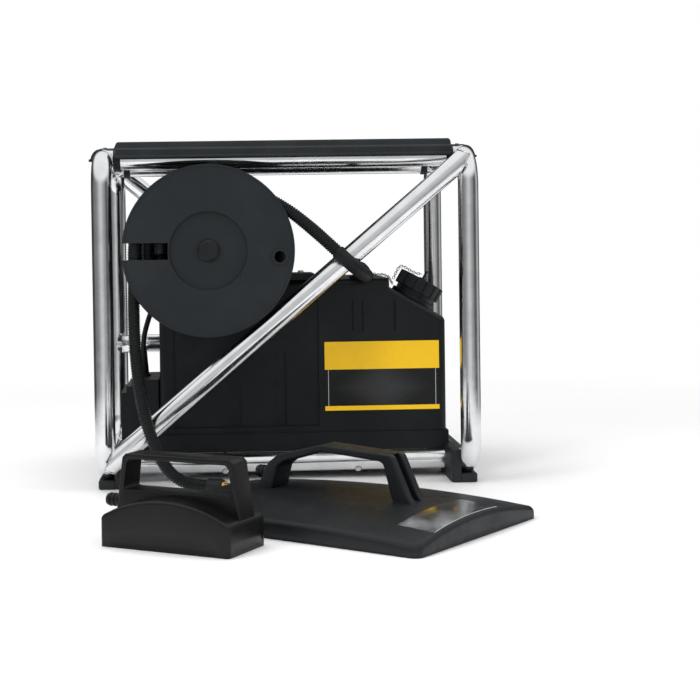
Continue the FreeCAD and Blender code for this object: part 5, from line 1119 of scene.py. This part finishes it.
@dataclass
class SteamPlate(Assembly):
    """Shared by both plates: the plate's own axes, a domed shell and bars of rounded section."""

    centre_x: float = 0.0
    centre_y: float = 0.0
    turn: float = 0.0
    length: float = 0.0
    width: float = 0.0
    corner: float = 0.0
    least_corner: float = 0.8
    edge: float = 0.0
    wall: float = 2.8
    sunk: float = 1.0
    grip_outer: Outline = ()
    grip_inner: Outline = ()
    grip_low: float = 0.0
    grip_high: float = 0.0

    def height(self, along: np.ndarray, across: np.ndarray) -> np.ndarray:
        """Height of the plate's top over its own axes."""
        raise NotImplementedError

    def placed(self, points: np.ndarray) -> np.ndarray:
        """Plate millimetres turned about Z, moved to the plate's centre and taken to the frame."""
        angle = math.radians(self.turn)
        cosine, sine = math.cos(angle), math.sin(angle)
        along, across, up = points[..., 0], points[..., 1], points[..., 2]
        return in_frame(np.stack([self.centre_x + along * cosine - across * sine,
                                  self.centre_y + along * sine + across * cosine, up], axis=-1))

    def ring(self, inset: float, drop: float) -> np.ndarray:
        """Outline drawn in by an inset, a drop below the plate's top."""
        corner = max(self.corner - inset, self.least_corner)
        line = rounded_rectangle(self.length / 2 - inset, self.width / 2 - inset, corner, 8)
        line = refined(line, 12, True)
        return np.column_stack([line, self.height(line[:, 0], line[:, 1]) - drop])

    def shell(self, name: str) -> bpy.types.Object:
        """Rings up the sides, round the top edge and in to the middle, where height() gives Z.

        Round the edge the inset runs edge * (1 - cos) and the drop edge * (1 - sin) of an angle from 0 to 90
        degrees, and beyond it the outline shrinks evenly to the middle.
        """
        rings = [self.ring(0.0, self.edge) * (1, 1, share) for share in (0.0, 0.5, 1.0)]
        for angle in np.linspace(0, np.pi / 2, 8)[1:]:
            rings.append(self.ring(self.edge * (1 - math.cos(angle)), self.edge * (1 - math.sin(angle))))
        last = rings[-1][:, :2]
        for share in np.linspace(1, 0.02, 26)[1:]:
            line = last * share
            rings.append(np.column_stack([line, self.height(line[:, 0], line[:, 1])]))
        grid = self.placed(np.array(rings))
        shape = Shape(name).add(grid)
        shape.faces.append(list(range(shape.count - grid.shape[1], shape.count)))
        return thickened(shape.build(50.0), self.wall)

    def bar(self, outer: np.ndarray, inner: np.ndarray, low: float, high: float,
            rounding: float) -> np.ndarray:
        """Section between two matching lines, carried along them.

        Each section is a rectangle from the outer line's point to the inner line's point and from low to high
        across, with its corners rounded; points under the plate's top are lifted to just below it.

        Args:
            outer: Outer line, along and up.
            inner: Inner line with as many points.
            low: Lowest place across.
            high: Highest place across.
            rounding: Radius of the section's corners.

        Returns:
            Grid in the frame.
        """
        quarter = np.linspace(0, np.pi / 2, 5)
        near, far = rounding * (1 - np.cos(quarter)), rounding * (1 - np.sin(quarter))
        inset = np.concatenate([far, near])
        side = np.concatenate([low + near, high - far])
        into = unit(inner - outer)
        first = outer[:, None] + into[:, None] * inset[:, None]
        second = inner[:, None] - into[:, None] * inset[::-1][:, None]
        rows = np.concatenate([first, second], axis=1)
        across = np.concatenate([side, side[::-1]])
        grid = np.stack([rows[..., 0], np.broadcast_to(across, rows.shape[:2]), rows[..., 1]], axis=-1)
        along = np.clip(grid[..., 0], -self.length / 2, self.length / 2)
        floor = self.height(along, grid[..., 1]) - self.sunk
        grid[..., 2] = np.maximum(grid[..., 2], floor)
        return self.placed(grid)


@dataclass
class LargePlate(SteamPlate):
    """Wide bowed plate with a bent handle whose right leg is split."""

    kept: tuple[Kept, ...] = (
        Kept("large_plate_baffle", "sheet"), Kept("large_plate_inlet", "plate", 0.3, 2),
        Kept("large_plate_label", "foil"))
    centre_x: float = 52.0
    centre_y: float = -211.9
    turn: float = -39.0
    length: float = 330.0
    width: float = 250.0
    corner: float = 10.0
    edge: float = 6.0
    crown: float = 33.0
    bow: float = 1800.0
    arch: float = 546.0
    grip_outer: Outline = (
        (-110.0, 24.0), (-91.0, 59.0), (-77.0, 69.0), (-18.0, 84.0), (71.0, 79.0), (97.0, 24.0))
    grip_inner: Outline = (
        (-86.0, 24.0), (-77.0, 55.0), (-69.0, 61.0), (-18.0, 76.0), (60.0, 71.0), (73.0, 24.0))
    grip_low: float = -23.0
    grip_high: float = 7.0
    grip_bend: float = 7.0
    leg: float = 10.0
    split_at: float = 0.80

    def height(self, along: np.ndarray, across: np.ndarray) -> np.ndarray:
        """Crown less the sagittas of the two bows."""
        return (self.crown - (self.bow - np.sqrt(self.bow ** 2 - along ** 2))
                - (self.arch - np.sqrt(self.arch ** 2 - across ** 2)))

    def make(self) -> None:
        """Shell and handle."""
        body = Body.LARGE_PLATE
        self.dress(self.shell("large_plate_dome"), "plate", body, "plate_plastic", "large_plate_shell")
        outer, inner = (refined(rounded_corners(line, self.grip_bend, 7, closed=False), 4, False)
                        for line in (self.grip_outer, self.grip_inner))
        split = int(len(outer) * self.split_at)
        whole = self.bar(outer[:split], inner[:split], self.grip_low, self.grip_high, 2.6)
        shape = Shape("large_plate_grip").add(whole, capped=True)
        for low in (self.grip_low, self.grip_high - self.leg):
            leg = self.bar(outer[split - 1:], inner[split - 1:], low, low + self.leg, 2.2)
            shape.add(leg, capped=True)
        self.dress(shape.build(50.0), "plate", body, "plate_plastic", "large_plate_handle")


@dataclass
class SmallPlate(SteamPlate):
    """Narrow arched plate with a frame handle."""

    kept: tuple[Kept, ...] = (
        Kept("small_plate_baffle", "sheet"), Kept("small_plate_inlet", "small_plate", 0.3, 2))
    centre_x: float = -125.5
    centre_y: float = -324.5
    turn: float = -30.0
    length: float = 150.0
    width: float = 74.0
    corner: float = 4.0
    edge: float = 3.6
    crest: float = 50.5
    radius: float = 150.6
    grip_outer: Outline = (
        (-73.0, 27.5), (-65.0, 87.0), (-61.0, 91.0), (61.0, 91.0), (65.0, 87.0), (73.0, 27.5))
    grip_inner: Outline = (
        (-63.5, 54.5), (-59.5, 81.5), (-55.5, 85.5), (55.5, 85.5), (59.5, 81.5), (63.5, 54.5))
    grip_low: float = -10.0
    grip_high: float = 20.0
    grip_bend: float = 2.6

    def height(self, along: np.ndarray, across: np.ndarray) -> np.ndarray:
        """Crest less the sagitta of the arch."""
        return self.crest - (self.radius - np.sqrt(self.radius ** 2 - along ** 2)) + 0.0 * across

    def make(self) -> None:
        """Shell and handle."""
        body = Body.SMALL_PLATE
        arch = self.shell("small_plate_arch")
        self.dress(arch, "small_plate", body, "small_plate_plastic", "small_plate_shell")
        outer, inner = (refined(rounded_corners(line, self.grip_bend, 5), 6, True)
                        for line in (self.grip_outer, self.grip_inner))
        grid = self.bar(outer, inner, self.grip_low, self.grip_high, 1.5)
        piece = Shape("small_plate_grip").add(grid, Wrap.BOTH).build(50.0)
        self.dress(piece, "small_plate", body, "small_plate_plastic", "small_plate_handle")


@dataclass
class MainsLead(Assembly):
    """Lead from the heater housing to its coil, its tail and its plug."""

    kept: tuple[Kept, ...] = (
        Kept("lead_gland", "lead", 0.5, 2), Kept("lead_clip", "fitting", 0.5, 2),
        Kept("mains_plug", "lead", 1.0))
    radius: float = 0.0034
    coil_centre: tuple[float, float] = (-0.065915, 0.448158)
    coil_in: float = 0.02825
    coil_out: float = 0.04675
    coil_pitch: float = 0.0074
    floor: float = 0.00345
    turns: float = 9.5
    layers: int = 4
    layer_turns: float = 2.5
    climb: float = 0.25
    turn_steps: int = 16
    straight: float = 0.014

    def coil(self) -> np.ndarray:
        """Flat spirals, in and out again, that climb a layer where they reverse.

        The reach from the coil's centre grows or falls by a pitch a turn, the angle falls by a full circle a
        turn, and the height steps by a smooth cubic over the turns on each side of a reversal.
        """
        turn = np.linspace(0, self.turns, int(self.turns * self.turn_steps) + 1)[1:]
        number = np.clip(np.round(turn / self.layer_turns), 1, self.layers - 1)
        past = turn - number * self.layer_turns
        eased = past ** 2 / (2 * self.climb) + self.climb / 2
        step = self.coil_pitch * np.where(np.abs(past) < self.climb, eased, np.abs(past))
        reach = np.where(number % 2 == 1, self.coil_in + step, self.coil_out - step)
        share = np.clip((past + self.climb) / (2 * self.climb), 0, 1)
        climb = number - 1 + smooth(share)
        angle = np.pi - 2 * np.pi * turn
        middle_x, middle_y = self.coil_centre
        return np.column_stack([middle_x + reach * np.cos(angle), middle_y + reach * np.sin(angle),
                                self.floor + self.coil_pitch * climb])

    def make(self) -> None:
        """One cord for the whole lead, from the gland to the plug."""
        coil = self.coil()
        end = coil[-1]
        leaving = (end[0], end[1] - self.straight, end[2])
        points = np.concatenate([LEAD_ROUTE, coil, [leaving], TAIL_ROUTE])
        piece = route("mains_cord", points, self.radius)
        self.dress(piece, "lead", Body.CAGE, "lead_rubber", "mains_lead", "lead_coil", "lead_tail")


# --- studio ---------------------------------------------------------------------------------------


@dataclass(frozen=True)
class Lamp:
    """Soft rectangular lamp: its seat, the point that it faces, its sides in metres and its watts."""

    name: str
    seat: Place
    target: Place
    sides: tuple[float, float]
    watts: float

    def build(self) -> None:
        """Make the lamp; metal shows the world's panels instead of it."""
        data = bpy.data.lights.new(self.name, "AREA")
        data.shape = "RECTANGLE"
        data.size, data.size_y = self.sides
        data.energy = self.watts
        lamp = bpy.data.objects.new(self.name, data)
        lamp.visible_glossy = False
        bpy.context.scene.collection.objects.link(lamp)
        back = unit(np.array(self.seat) - np.array(self.target))
        right = unit(np.cross(UPWARDS, back))
        columns = np.column_stack([right, np.cross(back, right), back])
        lamp.matrix_world = Matrix.Translation(self.seat) @ Matrix(columns.tolist()).to_4x4()


@dataclass
class Studio:
    """Camera, lamps, world and floor.

    The panels are azimuths in degrees with the light that metal sees there.
    """

    seat: Place = (-0.0980, -1.7832, 0.3159)
    yaw: float = 0.0365
    pitch: float = -0.0231
    roll: float = -0.0146
    lens: float = 76.91
    shift: tuple[float, float] = (0.12, -0.12)
    fill: float = 0.68
    sensor: float = 36.0
    ceiling: tuple[float, float] = (0.3, 0.6)
    floor_half: float = 9.0
    floor_drop: float = 0.0004
    floor_white: tuple[float, float] = (0.65, 1.6)
    floor_clear: tuple[float, float] = (0.7, 1.1)
    lamps: tuple[Lamp, ...] = (
        Lamp("left_softbox", (-1.9, -1.5, 1.5), (0.0, 0.0, 0.25), (0.9, 1.6), 26.0),
        Lamp("right_strip", (1.9, -0.9, 1.0), (0.0, 0.0, 0.2), (0.35, 1.6), 12.0),
        Lamp("top_softbox", (-0.2, 0.1, 2.2), (0.0, 0.0, 0.2), (1.6, 1.2), 22.0))
    panels: Outline = (
        (-180.0, 0.05), (-104.0, 0.06), (-92.0, 0.20), (-58.0, 0.24), (-34.0, 0.42), (-14.0, 0.66),
        (4.0, 0.64), (20.0, 0.42), (40.0, 0.30), (56.0, 0.10), (78.0, 0.14), (90.0, 0.50),
        (112.0, 0.46), (128.0, 0.07), (180.0, 0.05))

    def camera(self) -> None:
        """Camera at the front, turned a little to the right and down."""
        data = bpy.data.cameras.new("camera")
        data.lens, data.sensor_width = self.lens, self.sensor
        data.shift_x, data.shift_y = self.shift
        camera = bpy.data.objects.new("camera", data)
        bpy.context.scene.collection.objects.link(camera)
        level = math.cos(self.pitch)
        forward = np.array([math.sin(self.yaw) * level, math.cos(self.yaw) * level, math.sin(self.pitch)])
        right = np.array([math.cos(self.yaw), -math.sin(self.yaw), 0.0])
        up = np.cross(right, forward)
        turned_right = right * math.cos(self.roll) + up * math.sin(self.roll)
        turned_up = up * math.cos(self.roll) - right * math.sin(self.roll)
        columns = np.column_stack([turned_right, turned_up, -forward])
        camera.matrix_world = Matrix.Translation(self.seat) @ Matrix(columns.tolist()).to_4x4()
        bpy.context.scene.camera = camera

    def world(self) -> None:
        """White to the camera; to glossy rays a ring of light and dark panels under a white ceiling."""
        world = bpy.data.worlds.new("studio")
        world.use_nodes = True
        bpy.context.scene.world = world
        graph = Graph(world.node_tree)
        rays = graph.node("ShaderNodeLightPath")
        ray = graph.node("ShaderNodeTexCoord").outputs["Generated"]
        heading = graph.node("ShaderNodeSeparateXYZ", Vector=ray)
        bearing = graph.sum_of("ARCTAN2", heading.outputs[0], graph.product(heading.outputs[1], -1.0))
        panels = graph.node("ShaderNodeValToRGB", Fac=graph.scaled(bearing, -math.pi, math.pi))
        stops = panels.color_ramp.elements
        for degrees, light in self.panels[1:-1]:
            stops.new((degrees + 180.0) / 360.0).color = rgba((light,) * 3)
        stops[0].color = rgba((self.panels[0][1],) * 3)
        stops[-1].color = rgba((self.panels[-1][1],) * 3)
        overhead = graph.ranged(heading.outputs[2], *self.ceiling)
        mirrored = graph.mixed(overhead, panels.outputs[0], rgba((1.0, 1.0, 1.0)))
        seen = graph.sum_of("MAXIMUM", rays.outputs["Is Camera Ray"], rays.outputs["Is Transmission Ray"])
        lighting = graph.product(graph.sum_of("SUBTRACT", 1.0, seen), self.fill)
        plain = graph.sum_of("ADD", lighting, seen)
        glossy = rays.outputs["Is Glossy Ray"]
        strength = graph.sum_of("ADD", graph.product(plain, graph.sum_of("SUBTRACT", 1.0, glossy)),
                                graph.product(mirrored, glossy))
        back = world.node_tree.nodes["Background"]
        back.inputs["Color"].default_value = (1.0, 1.0, 1.0, 1.0)
        graph.feed(back.inputs["Strength"], strength)

    def floor(self) -> None:
        """Pale floor that keeps the shadow near the object and turns plain white far from it."""
        ring = rounded_rectangle(self.floor_half, self.floor_half, 0.5, 4)
        shape = Shape("studio_floor")
        shape.points.append(np.column_stack([ring, np.full(len(ring), -self.floor_drop)]))
        shape.faces.append(list(range(len(ring))))
        floor = shape.build()
        material = bpy.data.materials.new("studio_floor")
        material.use_nodes = True
        graph = Graph(material.node_tree)
        shader = material.node_tree.nodes["Principled BSDF"]
        shader.inputs["Base Color"].default_value = (0.93, 0.93, 0.935, 1.0)
        shader.inputs["Roughness"].default_value = 0.6
        shader.inputs["Specular IOR Level"].default_value = 0.15
        place = graph.node("ShaderNodeTexCoord").outputs["Object"]
        away = graph.node("ShaderNodeVectorMath", {"operation": "LENGTH"}, i0=place).outputs["Value"]
        far = graph.ranged(away, *self.floor_white)
        white = graph.node("ShaderNodeEmission", Color=(1.0, 1.0, 1.0, 1.0), Strength=1.0)
        mix = graph.node("ShaderNodeMixShader", i0=far, i1=shader.outputs[0], i2=white.outputs[0])
        mirrored = graph.product(graph.ranged(away, *self.floor_clear),
                                 graph.node("ShaderNodeLightPath").outputs["Is Glossy Ray"])
        clear = graph.node("ShaderNodeBsdfTransparent")
        mix = graph.node("ShaderNodeMixShader", i0=mirrored, i1=mix.outputs[0], i2=clear.outputs[0])
        graph.feed(material.node_tree.nodes["Material Output"].inputs["Surface"], mix.outputs[0])
        floor.data.materials.append(material)

    def build(self) -> None:
        """Everything round the object."""
        self.camera()
        for lamp in self.lamps:
            lamp.build()
        self.world()
        self.floor()
        bpy.context.scene.view_settings.view_transform = "Standard"


def make_finishes() -> dict[str, bpy.types.Material]:
    """All finishes of the object by key."""
    Finish.shared = SharedEffects()
    low, high = (tuple(corner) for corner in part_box("tank_label"))
    steel, plastic = DrawnMetal, MouldedPlastic
    finishes = {
        "chrome": steel("polished_chrome", (0.80, 0.81, 0.82), (0.70, 0.715, 0.73), 0.10, 0.22,
                        depth=0.000003),
        "screw": steel("plated_screw", (0.70, 0.70, 0.71), (0.58, 0.58, 0.59), 0.2, 0.34),
        "axle": steel("turned_steel", (0.55, 0.55, 0.56), (0.45, 0.45, 0.46), 0.25, 0.4),
        "chain": steel("chain_steel", (0.40, 0.40, 0.41), (0.22, 0.21, 0.20), 0.25, 0.45),
        "brass": steel("turned_brass", (0.80, 0.56, 0.20), (0.62, 0.40, 0.12), 0.16, 0.3),
        "element": steel("heating_rod", (0.50, 0.47, 0.43), (0.30, 0.27, 0.24), 0.3, 0.5),
        "sheet": steel("baffle_sheet", (0.62, 0.62, 0.63), (0.52, 0.52, 0.53), 0.3, 0.45),
        "foil": steel("silver_foil", (0.62, 0.63, 0.64), (0.48, 0.49, 0.50), 0.12, 0.22),
        "cover": plastic("cover_plastic", (0.013, 0.016, 0.018), (0.019, 0.0225, 0.025), 0.34, 0.48),
        "foot": plastic("foot_plastic", (0.014, 0.016, 0.018), (0.022, 0.025, 0.027), 0.5, 0.65),
        "tank": plastic("tank_plastic", (0.0050, 0.0068, 0.0080), (0.0080, 0.0102, 0.0118), 0.34, 0.5,
                        650.0, 0.00006),
        "cap": plastic("cap_plastic", (0.008, 0.010, 0.011), (0.012, 0.014, 0.015), 0.35, 0.5),
        "seal": plastic("seal_rubber", (0.020, 0.020, 0.020), (0.028, 0.028, 0.028), 0.6, 0.75),
        "fitting": plastic("fitting_plastic", (0.008, 0.0095, 0.0105), (0.012, 0.014, 0.015), 0.35, 0.5),
        "resin": plastic("thermostat_resin", (0.06, 0.045, 0.03), (0.08, 0.06, 0.04), 0.4, 0.55),
        "reel": plastic("reel_plastic", (0.0135, 0.0168, 0.0190), (0.0175, 0.0212, 0.0238), 0.42, 0.56,
                        800.0, 0.00005),
        "hose": plastic("hose_plastic", (0.006, 0.0068, 0.0075), (0.009, 0.010, 0.011), 0.3, 0.42,
                        1400.0, 0.00002),
        "sleeve": plastic("sleeve_rubber", (0.0065, 0.0072, 0.008), (0.010, 0.011, 0.012), 0.42, 0.55),
        "plate": plastic("plate_plastic", (0.0080, 0.0098, 0.0112), (0.0112, 0.0134, 0.0150), 0.36, 0.5,
                         700.0, 0.00006, 0.26),
        "small_plate": plastic("small_plate_plastic", (0.0032, 0.0033, 0.0030), (0.0056, 0.0058, 0.0052),
                               0.3, 0.42, 800.0, 0.00004, 0.28),
        "lead": plastic("lead_rubber", (0.007, 0.007, 0.0072), (0.011, 0.011, 0.0112), 0.45, 0.6),
        "label": BandedLabel("plain_label", low, high),
    }
    return {key: finish.material() for key, finish in finishes.items()}


def main() -> None:
    """Build the studio and every sub-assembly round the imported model."""
    logging.basicConfig(level=logging.INFO, format="%(name)s: %(message)s")
    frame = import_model()
    nodes = frame["nodes"]
    finishes = make_finishes()
    Studio().build()
    for assembly in (HoseReel, MainsLead, TubeCage, TopCover, WaterTank, CapChain, LargePlate, SmallPlate):
        assembly(nodes, finishes).build()
    bpy.context.view_layer.update()


if __name__ == "__main__":
    main()
